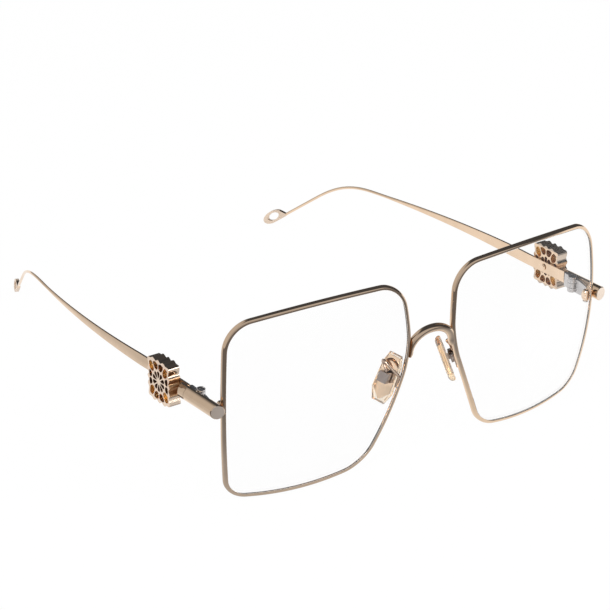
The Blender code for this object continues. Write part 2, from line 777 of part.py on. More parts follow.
def eyelet_mesh(point, side, up, ahead):
    """The flat eyelet, drawn in the plane of the wire's direction and up."""
    rim = circle_points((0.0, 0.0), EYELET_NECK_RADIUS) + ellipse_points(EYELET_MIDDLE, EYELET_HALF)
    hole = ellipse_points(EYELET_HOLE_MIDDLE, EYELET_HOLE_HALF)
    shape = flat_shape(hull(rim), EYELET_THICKNESS, [hole])
    turn = Matrix((ahead, up, side)).transposed().to_4x4()
    shape.transform(Matrix.Translation(point) @ turn)
    return shape


def rivet_matrix():
    """The medallion's frame: X along the bar, Y up across it and Z outward through it."""
    direction = Vector((0.0, math.cos(BAR_DROP), -math.sin(BAR_DROP)))
    across = Vector((0.0, math.sin(BAR_DROP), math.cos(BAR_DROP)))
    turn = Matrix((direction, across, Vector((1.0, 0.0, 0.0)))).transposed().to_4x4()
    middle = TEMPLE_START + direction * MEDALLION_SETBACK + across * MEDALLION_LIFT
    return Matrix.Translation(middle) @ turn


def temple_mesh():
    frames = temple_frames()
    bar = lofted([temple_section(*frame[:4]) for frame in frames])
    _, point, side, up, ahead = frames[-1]
    eyelet = eyelet_mesh(point - ahead * EYELET_NECK_RADIUS, side, up, ahead)
    hole = cylinder((0.0, 0.0, -BAR_HEIGHT), (0.0, 0.0, BAR_HEIGHT), RIVET_SHANK + 2 * SCREW_FIT,
                    SMALL_SIDES)
    hole.transform(rivet_matrix())
    return combined(bar, joined=[eyelet], cut=[hole])


# Medallion
def medallion_radius(angle, inset):
    """Distance from the middle to a rounded, squarish outline, less an inset."""
    half_length, half_height = MEDALLION_LENGTH / 2 - inset, MEDALLION_HEIGHT / 2 - inset
    power = MEDALLION_SQUARENESS
    total = abs(math.cos(angle) / half_length) ** power + abs(math.sin(angle) / half_height) ** power
    return total ** (-1 / power)


def medallion_mesh():
    """A scalloped tile with spokes from a round boss: every opening goes right through."""
    rim = []
    steps = SCALLOP_STEPS * SPOKES
    for i in range(steps):
        angle = math.tau * i / steps
        radius = medallion_radius(angle, MEDALLION_SCALLOP)
        radius += MEDALLION_SCALLOP * math.cos(2 * SPOKES * angle)
        rim.append((radius * math.cos(angle), radius * math.sin(angle)))
    holes = []
    half_spoke = SPOKE_WIDTH / 2
    boss = BOSS_DIAMETER / 2
    inset = MEDALLION_WALL + 2 * MEDALLION_SCALLOP
    for k in range(SPOKES):
        first, last = math.tau * k / SPOKES, math.tau * (k + 1) / SPOKES
        hole = []
        for i in range(OPENING_STEPS + 1):
            spread = i / OPENING_STEPS
            middle = first + (last - first) * spread
            trim = math.asin(half_spoke / medallion_radius(middle, inset)) * (1 - 2 * spread)
            radius = medallion_radius(middle + trim, inset)
            hole.append((radius * math.cos(middle + trim), radius * math.sin(middle + trim)))
        for i in range(OPENING_STEPS + 1):
            spread = 1 - i / OPENING_STEPS
            middle = first + (last - first) * spread
            trim = math.asin(half_spoke / boss) * (1 - 2 * spread)
            hole.append((boss * math.cos(middle + trim), boss * math.sin(middle + trim)))
        holes.append(hole)
    tile = flat_shape(rim, MEDALLION_THICKNESS, holes)
    lift = BAR_THICKNESS / 2 + SEAT_GAP + MEDALLION_THICKNESS / 2
    tile.transform(rivet_matrix() @ Matrix.Translation((0.0, 0.0, lift)))
    return tile


def medallion_rivet_mesh():
    """The rivet: a low head on the bar's inner face and a shank up to the medallion's boss."""
    inner = -BAR_THICKNESS / 2 - SEAT_GAP
    rivet = turned([
        (0.0, BAR_THICKNESS / 2), (RIVET_SHANK / 2, BAR_THICKNESS / 2), (RIVET_SHANK / 2, inner),
        (RIVET_HEAD / 2, inner), (RIVET_HEAD / 2, inner - RIVET_HEAD_HEIGHT / 2),
        (RIVET_HEAD / 4, inner - RIVET_HEAD_HEIGHT), (0.0, inner - RIVET_HEAD_HEIGHT),
    ])
    rivet.transform(rivet_matrix())
    return rivet


# Nose pad
def pad_frame():
    """The pad's frame at its pivot: X along the pivot's axis, Y up the pad and Z outward."""
    level = Vector((math.cos(PAD_SPLAY), -math.sin(PAD_SPLAY), 0.0))
    run = math.cos(PAD_TILT)
    axis = Vector((math.sin(PAD_SPLAY) * run, math.cos(PAD_SPLAY) * run, math.sin(PAD_TILT)))
    upward = level.cross(axis) * math.cos(PAD_LEAN) - level * math.sin(PAD_LEAN)
    outward = axis.cross(upward)
    turn = Matrix((axis, upward, outward)).transposed().to_4x4()
    middle = Vector((PAD_X, PAD_Y, LENS_TOP - PAD_DROP))
    return Matrix.Translation(middle + upward * PIVOT_LIFT + outward * PIVOT_HEIGHT) @ turn


def pad_outline(inset):
    """The pad's octagon about its middle, less an inset; its toe is lower than its shoulder."""
    top, bottom = PAD_LENGTH / 2 - inset, -PAD_LENGTH / 2 + inset
    half, end = PAD_WIDTH / 2 - inset, PAD_END_WIDTH / 2 - inset / 2
    shoulder_half = half - PAD_SHOULDER_INSET
    shoulder, toe = PAD_LENGTH / 2 - PAD_SHOULDER, -PAD_LENGTH / 2 + PAD_TOE
    return [(end, bottom), (half, toe), (shoulder_half, shoulder), (end, top),
            (-end, top), (-shoulder_half, shoulder), (-half, toe), (-end, bottom)]


def plate_outline(inset):
    """The core plate's outline: the pad's, with its toe drawn to a point."""
    loop = pad_outline(inset)
    return [(0.0, -PAD_LENGTH / 2 + inset), *loop[1:-1]]


def in_pad_frame(shape):
    """Moves a shape drawn about the pad's middle into the pad's place."""
    shape.transform(pad_frame() @ Matrix.Translation((0.0, -PIVOT_LIFT, -PIVOT_HEIGHT)))
    return shape


def nose_pad_mesh():
    """The pad as rings from its domed face to its back, with a pocket for the core's plate."""
    rings = []
    for inset, share in PAD_SECTION:
        rings.append([(x, y, share * PAD_THICKNESS / 2) for x, y in pad_outline(inset * MM)])
    pad = lofted(rings)
    pocket = flat_shape(plate_outline(PLATE_INSET - SEAT_GAP), PAD_THICKNESS)
    pocket.transform(Matrix.Translation((0.0, 0.0, PAD_THICKNESS - PLATE_THICKNESS - SEAT_GAP)))
    return in_pad_frame(combined(pad, cut=[pocket]))


def pad_core_mesh():
    """The plate in the pad's pocket with the lug that the pad's screw goes through."""
    plate = flat_shape(plate_outline(PLATE_INSET), PLATE_THICKNESS)
    plate.transform(Matrix.Translation((0.0, 0.0, (PAD_THICKNESS - PLATE_THICKNESS) / 2)))
    reach = PIVOT_HEIGHT - PAD_THICKNESS / 2 + PLATE_THICKNESS / 2
    foot = [(-LUG_RADIUS, -reach), (LUG_RADIUS, -reach)]
    lug = flat_shape(hull(foot + circle_points((0.0, 0.0), LUG_RADIUS)), LUG_THICKNESS)
    side_on = Matrix(((0, 0, 1, 0), (1, 0, 0, PIVOT_LIFT), (0, 1, 0, PIVOT_HEIGHT), (0, 0, 0, 1)))
    lug.transform(side_on)
    pin = (PIVOT_LIFT, PIVOT_HEIGHT)
    bore = cylinder((-PAD_WIDTH, *pin), (PAD_WIDTH, *pin), PAD_SHANK + 2 * SCREW_FIT, SMALL_SIDES)
    return in_pad_frame(combined(plate, joined=[lug], cut=[bore]))


def box_half_width():
    return LUG_THICKNESS / 2 + RUNNING_GAP + BOX_WALL


def pad_box_mesh():
    """A channel, open towards the pad, whose two walls take the pad's screw."""
    half, tall = box_half_width(), BOX_HEIGHT / 2
    inner_top = LUG_RADIUS + 2 * RUNNING_GAP
    channel = box((-half, -tall, -BOX_SKIRT), (half, tall, inner_top + BOX_WALL))
    room = LUG_THICKNESS / 2 + RUNNING_GAP
    inside = box((-room, -BOX_HEIGHT, -2 * BOX_SKIRT), (room, BOX_HEIGHT, inner_top))
    bore = cylinder((-PAD_WIDTH, 0, 0), (PAD_WIDTH, 0, 0), PAD_SHANK + 2 * SCREW_FIT, SMALL_SIDES)
    channel = combined(channel, cut=[inside, bore])
    channel.transform(pad_frame())
    return channel


def pad_screw_mesh():
    """The pin on which the pad rocks, with its head at the rear."""
    half = box_half_width()
    screw = slotted_screw(PAD_SHANK, 2 * half + SEAT_GAP, PAD_HEAD, PAD_HEAD_HEIGHT)
    screw.transform(pad_frame() @ Matrix.Translation((half + SEAT_GAP, 0, 0)) @ Matrix.Rotation(
        math.pi / 2, 4, "Y"))
    return screw


def pad_arm_mesh():
    """Bent wire: up the rear of the rim, back over the pad and down to the top of its box."""
    behind = Vector((0.0, RIM_DEPTH / 2 + SEAT_GAP + ARM_WIRE / 2, 0.0))
    root = LENS_TOP - ARM_ROOT_DROP
    frame = pad_frame()
    pivot = frame.translation
    top = BOX_HEIGHT / 2 + SEAT_GAP
    start = nasal_rim(root - ARM_ROOT_LENGTH) + behind
    bends = [
        nasal_rim(root) + behind,
        pivot + Vector((0.0, 0.0, ARM_RISE)),
        frame @ Vector((ARM_HOOK, top + ARM_RISE / 2, ARM_OFFSET / 3)),
        frame @ Vector((ARM_HOOK / 2, top + ARM_RISE / 3, ARM_OFFSET)),
        frame @ Vector((0.0, top + ARM_FOOT, ARM_OFFSET)),
    ]
    end = frame @ Vector((0.0, top, ARM_OFFSET))
    return wire_shape([start, *smooth_path(bends, ARM_STEPS), end], ARM_WIRE)


# Resting pose
def rest_lean():
    """The angle that the frame leans back by, so that its rims and its eyelets stand on one plane."""
    bpy.context.view_layer.update()
    fixed, folding = [], []
    for obj in PARTS.objects:
        if obj.type == "MESH":
            spots = [obj.matrix_world @ vertex.co for vertex in obj.data.vertices]
            (folding if obj.name.endswith("_temple") else fixed).extend(spots)

    def height_difference(angle):
        sine, cosine = math.sin(angle), math.cos(angle)
        front = min(spot.z * cosine - spot.y * sine for spot in fixed)
        rear = min(spot.z * cosine - spot.y * sine for spot in folding)
        return front - rear

    low, high = math.radians(-10.0), math.radians(20.0)
    for _ in range(50):
        middle = (low + high) / 2
        if height_difference(middle) > 0:
            high = middle
        else:
            low = middle
    return high


def stand(root):
    """Leans the frame back, stands it on z 0 and centres it on X and Y."""
    root.rotation_euler = (-rest_lean(), 0.0, 0.0)
    bpy.context.view_layer.update()
    spots = []
    for obj in PARTS.objects:
        if obj.type == "MESH":
            spots.extend(obj.matrix_world @ vertex.co for vertex in obj.data.vertices)
    middle = (min(s.y for s in spots) + max(s.y for s in spots)) / 2
    root.location = (0.0, -middle, -min(s.z for s in spots))
    bpy.context.view_layer.update()


clear_scene()
PARTS = new_collection("eyeglass_frame")
CUTTERS = new_collection("cutters")
ROOT = bpy.data.objects.new("eyeglasses", None)
PARTS.objects.link(ROOT)
PLACES = {ROOT.name: Vector((0.0, 0.0, 0.0))}

GOLD = material("rose_gold", (0.72, 0.55, 0.42), 0.22, 1.0)
STEEL = material("hinge_steel", (0.62, 0.60, 0.58), 0.3, 1.0)
CLEAR = material("clear_lens", (0.95, 0.96, 0.97), 0.05, 0.0, 0.25)
SILICONE = material("clear_silicone", (0.92, 0.90, 0.87), 0.15, 0.0, 0.5)

# Places that several pieces share
rim_points = [dished(point.x, point.y) for point in lens_outline()]
outermost = max(rim_points, key=lambda spot: spot.x)
ROD_X = outermost.x + RIM_WIDTH / 2 + SEAT_GAP + ROD_DIAMETER / 2
ROD_FRONT = Vector((ROD_X, outermost.y - RIM_DEPTH / 2 - ROD_OVERHANG, LENS_TOP - ROD_DROP))
FLAT_X = ROD_X - FLAT_OFFSET
SPLIT_HEIGHT = ROD_FRONT.z - SPLIT_DROP
HINGE = rod_axis(HINGE_SETBACK) - Vector((0.0, 0.0, HINGE_DROP))
HINGE.x = FLAT_X - SEAT_GAP - BARREL_DIAMETER / 2
bar_start = HINGE_SETBACK + TEMPLE_LEAF_LENGTH + SEAT_GAP + BAR_HEIGHT / 2 * math.sin(BAR_DROP)
TEMPLE_START = rod_axis(bar_start) + Vector((0.0, 0.0, BAR_LIFT))
TEMPLE_START.x = FLAT_X - SEAT_GAP - BAR_THICKNESS / 2
PIVOT_HEIGHT = PAD_THICKNESS / 2 + PIVOT_RISE

fixed = [ROOT, ROOT]
temples = add_axis_pair("temple_axis", HINGE)
pads = add_axis_pair("pad_axis", pad_frame().translation)

bridge, bridge_top = bridge_mesh()
add_piece("bridge", bridge, bridge_top, ROOT, GOLD)
lens_middle = dished(LENS_SPACING / 2 + LENS_WIDTH / 2, LENS_TOP - LENS_HEIGHT / 2)
add_pair("rim", rim_mesh(SPLIT_HEIGHT), lens_middle, fixed, GOLD)
add_pair("lens", lens_mesh(), lens_middle, fixed, CLEAR)
upper = closing_block_mesh(
    SEAT_GAP / 2, SEAT_GAP / 2 + UPPER_BLOCK_HEIGHT,
    (CLOSING_REACH + 2 * SEAT_GAP, CLOSING_SHANK + 2 * SCREW_FIT),
)
add_pair("closing_block_upper", upper, block_place(), fixed, GOLD)
lower = closing_block_mesh(
    -SEAT_GAP / 2 - LOWER_BLOCK_HEIGHT, -SEAT_GAP / 2,
    (2 * LOWER_BLOCK_HEIGHT, CLOSING_SHANK + 2 * RUNNING_GAP),
)
add_pair("closing_block_lower", lower, block_place(), fixed, GOLD)
add_pair("closing_screw", closing_screw_mesh(), block_place(), fixed, STEEL)
add_pair("endpiece", endpiece_mesh(), ROD_FRONT, fixed, GOLD)
add_pair("front_hinge", front_hinge_mesh(), HINGE, fixed, STEEL)
add_pair("hinge_screw", hinge_screw_mesh(), HINGE, fixed, STEEL)
add_pair("pad_arm", pad_arm_mesh(), pad_frame().translation, fixed, GOLD)
add_pair("pad_box", pad_box_mesh(), pad_frame().translation, fixed, GOLD)
add_pair("pad_screw", pad_screw_mesh(), pad_frame().translation, fixed, STEEL)
add_pair("temple_hinge", temple_hinge_mesh(), HINGE, temples, STEEL)
add_pair("temple_rod", temple_rod_mesh(), HINGE, temples, GOLD)
add_pair("temple", temple_mesh(), HINGE, temples, GOLD)
add_pair("medallion", medallion_mesh(), rivet_matrix().translation, temples, GOLD)
add_pair("medallion_rivet", medallion_rivet_mesh(), rivet_matrix().translation, temples, GOLD)
add_pair("nose_pad", nose_pad_mesh(), pad_frame().translation, pads, SILICONE)
add_pair("pad_core", pad_core_mesh(), pad_frame().translation, pads, GOLD)
stand(ROOT)

for axis in (*temples, *pads):
    print(axis.name, tuple(round(value, 6) for value in axis.matrix_world.translation))
print("lean in degrees", round(math.degrees(-ROOT.rotation_euler.x), 4))
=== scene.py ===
"""Looks of the eyeglass frame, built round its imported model. The shapes made here are drawn in the front's
own frame, with its lens planes upright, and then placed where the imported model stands. Metres, +Z up, the
front faces -Y. Each pair is drawn on the wearer's left, at +X, and mirrored."""

import json
import math

import bmesh
import bpy
from mathutils import Matrix, Vector, geometry

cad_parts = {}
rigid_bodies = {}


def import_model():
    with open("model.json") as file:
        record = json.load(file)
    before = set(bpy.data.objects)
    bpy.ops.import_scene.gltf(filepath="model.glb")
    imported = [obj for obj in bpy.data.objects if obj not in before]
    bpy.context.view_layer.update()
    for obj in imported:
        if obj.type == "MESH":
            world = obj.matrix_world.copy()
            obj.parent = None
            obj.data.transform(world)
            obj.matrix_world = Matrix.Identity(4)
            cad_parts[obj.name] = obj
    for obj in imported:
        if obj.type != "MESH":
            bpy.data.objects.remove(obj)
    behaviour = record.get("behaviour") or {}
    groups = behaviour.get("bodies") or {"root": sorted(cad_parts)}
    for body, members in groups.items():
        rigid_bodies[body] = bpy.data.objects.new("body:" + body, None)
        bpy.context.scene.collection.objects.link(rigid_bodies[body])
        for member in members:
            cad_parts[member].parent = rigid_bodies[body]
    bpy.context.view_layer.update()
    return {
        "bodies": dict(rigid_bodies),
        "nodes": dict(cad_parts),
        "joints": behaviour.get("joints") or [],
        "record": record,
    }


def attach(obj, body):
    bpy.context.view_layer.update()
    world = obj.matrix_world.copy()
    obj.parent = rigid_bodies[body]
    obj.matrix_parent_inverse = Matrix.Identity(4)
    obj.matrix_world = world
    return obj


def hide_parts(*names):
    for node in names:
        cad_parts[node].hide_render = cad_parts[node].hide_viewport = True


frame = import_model()

MM = 0.001
NODES = frame["nodes"]
BODIES = frame["record"]["behaviour"]["bodies"]
NODE_BODY = {node: body for body, members in BODIES.items() for node in members}
NODE_SLOT = {row["node"]: row["material_slot"] for row in frame["record"]["subparts"]}

# Where the front's own frame stands in the model
LEAN = math.radians(0.05627)
FRONT = Matrix.Translation((0.0, -0.080231, 0.036871)) @ Matrix.Rotation(LEAN, 4, "X")

# Below this two places count as one
TINY = 0.001 * MM

# Lens outline, u outward from the middle and v up
LENS_WIDTH = 57.9 * MM
LENS_HEIGHT = 57.8 * MM
LENS_SPACING = 16.1 * MM
LENS_TOP = 21.5 * MM
WRAP_ANGLE = math.radians(5.4)
LENS_RADIUS = 118.4 * MM

# How far each corner lies inside the outline's box, across and down, in millimetres
CORNER_INSETS = [(2.35, 1.15), (1.35, 3.25), (2.95, 1.25), (13.3, 2.9), (-0.05, 23.0)]

# How far from each corner its blend starts, and how far each side bows outward
CORNER_BLENDS = [7.3 * MM, 7.1 * MM, 5.45 * MM, 6.05 * MM, 6.15 * MM]
SIDE_BULGES = [2.05 * MM, 2.05 * MM, 2.0 * MM, 0.65 * MM, 0.75 * MM]
CORNER_FULLNESS = 0.75
SIDE_STEP = 1.5 * MM
CORNER_STEPS = 22

# Rim and lens
RIM_WIDTH = 1.15 * MM
RIM_DEPTH = 1.5 * MM
RIM_ROUND = 0.55 * MM
RIM_INNER_ROUND = 0.2 * MM
GROOVE_DEPTH = 0.45 * MM
GROOVE_WIDTH = 1.0 * MM
SPLIT_DROP = 27.9 * MM
SPLIT_GAP = 0.12 * MM
LENS_THICKNESS = 1.2 * MM
LENS_INSET = 0.075 * MM

# How many times its box the pebble is that rounds a block
CLOSING_PEBBLE = 1.25
BOX_PEBBLE = 1.22

# Bridge
BRIDGE_WIRE = 2.45 * MM
BRIDGE_HEIGHT = 5.9 * MM
BRIDGE_FOOT_DROP = 22.6 * MM
BRIDGE_LEG = 0.9 * MM
BRIDGE_TURN = 0.55 * MM
BRIDGE_INSET = 0.6 * MM
BRIDGE_TRIM = 0.45 * MM
RIM_SLOPE_REACH = 2.0 * MM

# How a wire's ends are eased: over a share of its diameter, down to a share of its radius
EASE_LENGTH = 0.1
EASE_RADIUS = 0.8

# Rod endpiece, hinge and bar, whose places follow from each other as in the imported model
ROD_DIAMETER = 4.2 * MM
ROD_OVERHANG = 0.9 * MM
ROD_DROP = 26.35 * MM
ROD_SLOPE = math.radians(4.4)
FLAT_OFFSET = 0.5 * MM
SEAT_GAP = 0.1 * MM
BAR_SETBACK = 15.7 * MM
BAR_THICKNESS = 0.8 * MM
BAR_HEIGHT = 3.55 * MM
BAR_ROUND = 0.08 * MM
BAR_CROWN = 0.06 * MM
BAR_LIFT = 0.35 * MM
EAR_WIRE = 0.9 * MM
TAPER_START = 26.0 * MM
TAPER_END = 86.0 * MM
BAR_STRAIGHT = 14.2 * MM
BOW_LENGTH = 75.6 * MM
EAR_BEND_LENGTH = 29.7 * MM
TIP_LENGTH = 14.5 * MM
PATH_STEP = 0.5 * MM
FLARE_SHARE = 0.1
FLARE_ANGLE = math.radians(-2.9)
BOW_ANGLE = math.radians(9.4)
EAR_ANGLE = math.radians(21.8)
BAR_DROP = math.radians(4.1)
BOW_DROP = math.radians(4.5)
EAR_DROP = math.radians(38.6)

# Eyelet at the temple's end
EYELET_THICKNESS = 1.05 * MM
EYELET_NECK_RADIUS = 0.52 * MM
EYELET_MIDDLE = (5.2 * MM, 1.42 * MM)
EYELET_HALF = (4.35 * MM, 1.95 * MM)
EYELET_HOLE_MIDDLE = (4.85 * MM, 1.44 * MM)
EYELET_HOLE_HALF = (2.7 * MM, 1.2 * MM)
EYELET_ROUND = 0.3 * MM

# Medallion and its rivet
MEDALLION_LENGTH = 11.5 * MM
MEDALLION_HEIGHT = 13.2 * MM
MEDALLION_THICKNESS = 3.6 * MM
MEDALLION_SCALLOP = 0.3 * MM
MEDALLION_LOBES = 16
MEDALLION_BEVEL = 0.07 * MM
MEDALLION_SQUARENESS = 9.0
MEDALLION_SETBACK = 9.55 * MM
MEDALLION_LIFT = 0.1 * MM
LACE_LINE = 0.3 * MM
PETALS = 10
ARCHES = 12
OPENING_FULLNESS = 3
BOSS_RADIUS = 0.85 * MM
PETAL_END = 3.15 * MM
RIVET_SHANK = 1.4 * MM

# Where the medallion's painted light and shade change, by a face's place on it and by its normal
PAINTED_LIGHT_CORNER = 0.19
MEDALLION_WAIST = 2.6 * MM
OUTER_FACING = 0.7
WALL_FACING = 0.5
LEVEL_FACING = 0.8

# Nose pad's place in millimetres, and its turns
PAD_MIDDLE = (10.3, 9.6, -10.8)
PAD_SPLAY = math.radians(22.0)
PAD_TILT = math.radians(9.5)
PAD_LEAN = math.radians(21.0)

# Nose pad's pivot, its box and the arm's wire
PIVOT_HEIGHT = 2.3 * MM
PIVOT_LIFT = 0.4 * MM
BOX_HEIGHT = 3.0 * MM
ARM_WIRE = 0.9 * MM
ARM_ROOT_DROP = 29.8 * MM
ARM_ROOT_LENGTH = 3.0 * MM
ARM_RISE = 4.7 * MM
ARM_HOOK = 2.2 * MM
ARM_OFFSET = 0.65 * MM
ARM_FOOT = 0.6 * MM

# A face is the endpiece's disc above the first of these, and the pad core's edge, painted in shade, below
# the second
DISC_FACING = 0.9
CORE_FACING = 0.7

# Sizes of the noise in the materials, in cycles per metre, and how deep the bumps are
CLOUD_SCALE = 160.0
POLISH_SCALE = 900.0
BRUSHING_SCALE = 5200.0
BRUSHING_STRETCH = (1.0, 0.12, 1.0)
SMUDGE_SCALE = 120.0
HAZE_SCALE = 400.0
GRAIN_SCALE = 2500.0
BUMP_DEPTH = 0.02 * MM


# Materials
def new_material(name):
    mat = bpy.data.materials.new(name)
    mat.use_nodes = True
    nodes = mat.node_tree.nodes
    return mat, nodes, mat.node_tree.links, nodes["Principled BSDF"]


def noise_texture(nodes, links, scale, detail, stretch=(1.0, 1.0, 1.0)):
    """Noise over the object's own coordinates, in cycles per metre."""
    place = nodes.new("ShaderNodeTexCoord")
    mapping = nodes.new("ShaderNodeMapping")
    mapping.inputs["Scale"].default_value = stretch
    texture = nodes.new("ShaderNodeTexNoise")
    texture.inputs["Scale"].default_value = scale
    texture.inputs["Detail"].default_value = detail
    links.new(place.outputs["Object"], mapping.inputs["Vector"])
    links.new(mapping.outputs["Vector"], texture.inputs["Vector"])
    return texture.outputs["Fac"]


def ramp(nodes, links, value, stops):
    node = nodes.new("ShaderNodeValToRGB")
    elements = node.color_ramp.elements
    while len(elements) < len(stops):
        elements.new(0.5)
    for element, (position, colour) in zip(elements, stops):
        element.position = position
        element.color = (*colour, 1.0)
    links.new(value, node.inputs["Fac"])
    return node.outputs["Color"]


def spread(nodes, links, value, low, high):
    node = nodes.new("ShaderNodeMapRange")
    node.inputs["To Min"].default_value = low
    node.inputs["To Max"].default_value = high
    links.new(value, node.inputs["Value"])
    return node.outputs["Result"]


def bumps(nodes, links, shader, value, strength):
    node = nodes.new("ShaderNodeBump")
    node.inputs["Strength"].default_value = strength
    node.inputs["Distance"].default_value = BUMP_DEPTH
    links.new(value, node.inputs["Height"])
    links.new(node.outputs["Normal"], shader.inputs["Normal"])


def metal(name, dark, light, roughness, grain, metallic=1.0):
    """Metal with a cloudy tone from dark to light, a polish that varies within the roughness given and fine
    brushing as strong as the grain."""
    mat, nodes, links, shader = new_material(name)
    shader.inputs["Metallic"].default_value = metallic
    cloud = noise_texture(nodes, links, CLOUD_SCALE, detail=3.0)
    links.new(ramp(nodes, links, cloud, [(0.3, dark), (0.7, light)]), shader.inputs["Base Color"])
    polish = noise_texture(nodes, links, POLISH_SCALE, detail=4.0)
    links.new(spread(nodes, links, polish, *roughness), shader.inputs["Roughness"])
    brushing = noise_texture(nodes, links, BRUSHING_SCALE, detail=2.0, stretch=BRUSHING_STRETCH)
    bumps(nodes, links, shader, brushing, grain)
    return mat


def lens_material():
    mat, nodes, links, shader = new_material("clear_lens")
    shader.inputs["Base Color"].default_value = (1.0, 1.0, 1.0, 1.0)
    shader.inputs["Transmission Weight"].default_value = 1.0
    shader.inputs["IOR"].default_value = 1.22
    smudge = noise_texture(nodes, links, SMUDGE_SCALE, detail=5.0)
    links.new(spread(nodes, links, smudge, 0.0, 0.03), shader.inputs["Roughness"])
    return mat


def silicone_material():
    mat, nodes, links, shader = new_material("clear_silicone")
    shader.inputs["Transmission Weight"].default_value = 0.9
    shader.inputs["IOR"].default_value = 1.41
    cloud = noise_texture(nodes, links, HAZE_SCALE, detail=2.0)
    tones = [(0.35, (0.93, 0.91, 0.88)), (0.7, (0.99, 0.98, 0.96))]
    links.new(ramp(nodes, links, cloud, tones), shader.inputs["Base Color"])
    links.new(spread(nodes, links, cloud, 0.03, 0.1), shader.inputs["Roughness"])
    bumps(nodes, links, shader, noise_texture(nodes, links, GRAIN_SCALE, detail=2.0), strength=0.1)
    tint = nodes.new("ShaderNodeVolumeAbsorption")
    tint.inputs["Color"].default_value = (1.0, 0.76, 0.4, 1.0)
    tint.inputs["Density"].default_value = 240.0
    links.new(tint.outputs["Volume"], nodes["Material Output"].inputs["Volume"])
    return mat


GOLD = metal("rose_gold", (0.78, 0.585, 0.42), (0.87, 0.66, 0.48), (0.03, 0.08), 0.03)
SATIN_GOLD = metal("satin_gold", (0.82, 0.69, 0.58), (0.9, 0.77, 0.66), (0.28, 0.4), 0.05, metallic=0.85)
# Painted light: the medallion's outer face, lighter as where light falls on it
PAINTED_LIGHT_LACE_GOLD = metal("lace_gold_painted_light", (0.98, 0.74, 0.58), (1.0, 0.84, 0.68), (0.2, 0.3), 0.05, metallic=0.85)
# Painted shade: the medallion's walls and the middle of its sides, darker as in shade
PAINTED_SHADE_INNER_GOLD = metal("inner_gold_painted_shade", (0.5, 0.3, 0.16), (0.66, 0.4, 0.22), (0.3, 0.45), 0.1)
# Painted light: the medallion's walls at its corners, brighter as lit
PAINTED_LIGHT_AMBER_GOLD = metal("amber_gold_painted_light", (0.95, 0.64, 0.28), (1.0, 0.74, 0.38), (0.35, 0.5), 0.1)
# Steel painted darker: shade on the nose pad's box
PAINTED_SHADE_BOX_STEEL = metal("box_steel_painted_shade", (0.34, 0.29, 0.27), (0.46, 0.4, 0.37), (0.3, 0.45), 0.15)
LOOP_GOLD = metal("loop_gold", (0.66, 0.53, 0.42), (0.74, 0.6, 0.48), (0.35, 0.5), 0.05, metallic=0.6)
# Painted shade: darker gold on the nose pad's arm and on the edges of its core
PAINTED_SHADE_BROWN_GOLD = metal("brown_gold_painted_shade", (0.42, 0.31, 0.24), (0.56, 0.43, 0.34), (0.14, 0.24), 0.1)
STEEL = metal("hinge_steel", (0.52, 0.50, 0.50), (0.66, 0.64, 0.63), (0.24, 0.38), 0.15)
# Painted shade: the medallion's sides, darker as in shade
PAINTED_SHADE_SIDE_GOLD = metal("side_gold_painted_shade", (0.5, 0.4, 0.32), (0.64, 0.53, 0.43), (0.1, 0.2), 0.05)
MEDALLION_LIGHT_AND_SHADE_GOLDS = (PAINTED_SHADE_INNER_GOLD, PAINTED_LIGHT_AMBER_GOLD, PAINTED_LIGHT_LACE_GOLD, PAINTED_SHADE_SIDE_GOLD)
MATERIALS = {
    "rose_gold": GOLD, "hinge_steel": STEEL, "clear_lens": lens_material(),
    "clear_silicone": silicone_material(),
}


# Meshes
def finished(bm, name):
    bmesh.ops.recalc_face_normals(bm, faces=bm.faces)
    mesh = bpy.data.meshes.new(name)
    bm.to_mesh(mesh)
    bm.free()
    return mesh


def lofted(sections):
    """Joins rings of as many points each, with flat ends."""
    bm = bmesh.new()
    rings = [[bm.verts.new(point) for point in section] for section in sections]
    count = len(rings[0])
    bm.faces.new(rings[0])
    bm.faces.new(rings[-1])
    for ring, following in zip(rings, rings[1:]):
        for i in range(count):
            j = (i + 1) % count
            bm.faces.new((ring[i], ring[j], following[j], following[i]))
    return finished(bm, "loft")


def helper(mesh):
    obj = bpy.data.objects.new("helper", mesh)
    bpy.context.scene.collection.objects.link(obj)
    return obj


def baked(obj):
    """The mesh that an object's modifiers give; the object is removed."""
    bpy.context.view_layer.update()
    graph = bpy.context.evaluated_depsgraph_get()
    mesh = bpy.data.meshes.new_from_object(obj.evaluated_get(graph))
    bpy.data.objects.remove(obj)
    return mesh


def combined(mesh, joined=(), cut=(), within=()):
    """The mesh with meshes added, taken away or kept only where they overlap it."""
    body = helper(mesh)
    tools = []
    for operation, shapes in (("UNION", joined), ("DIFFERENCE", cut), ("INTERSECT", within)):
        for shape in shapes:
            tool = helper(shape)
            modifier = body.modifiers.new(operation.lower(), "BOOLEAN")
            modifier.operation = operation
            modifier.object = tool
            tools.append(tool)
    result = baked(body)
    for tool in tools:
        bpy.data.objects.remove(tool)
    return result


def bevelled(mesh, width, segments=3, angle=30.0):
    obj = helper(mesh)
    bevel = obj.modifiers.new("bevel", "BEVEL")
    bevel.width = width
    bevel.segments = segments
    bevel.limit_method = "ANGLE"
    bevel.angle_limit = math.radians(angle)
    bevel.harden_normals = False
    return baked(obj)


def flat_shape(outline, thickness, holes=()):
    """A flat outline with holes, in XY, centred on z 0."""
    curve = bpy.data.curves.new("outline", "CURVE")
    curve.dimensions = "2D"
    curve.fill_mode = "BOTH"
    curve.extrude = thickness / 2
    for loop in (outline, *holes):
        spline = curve.splines.new("POLY")
        spline.points.add(len(loop) - 1)
        spline.use_cyclic_u = True
        for point, (x, y) in zip(spline.points, loop):
            point.co = (x, y, 0.0, 1.0)
    bm = bmesh.new()
    bm.from_mesh(baked(helper(curve)))
    bmesh.ops.remove_doubles(bm, verts=bm.verts, dist=TINY)
    return finished(bm, "flat")


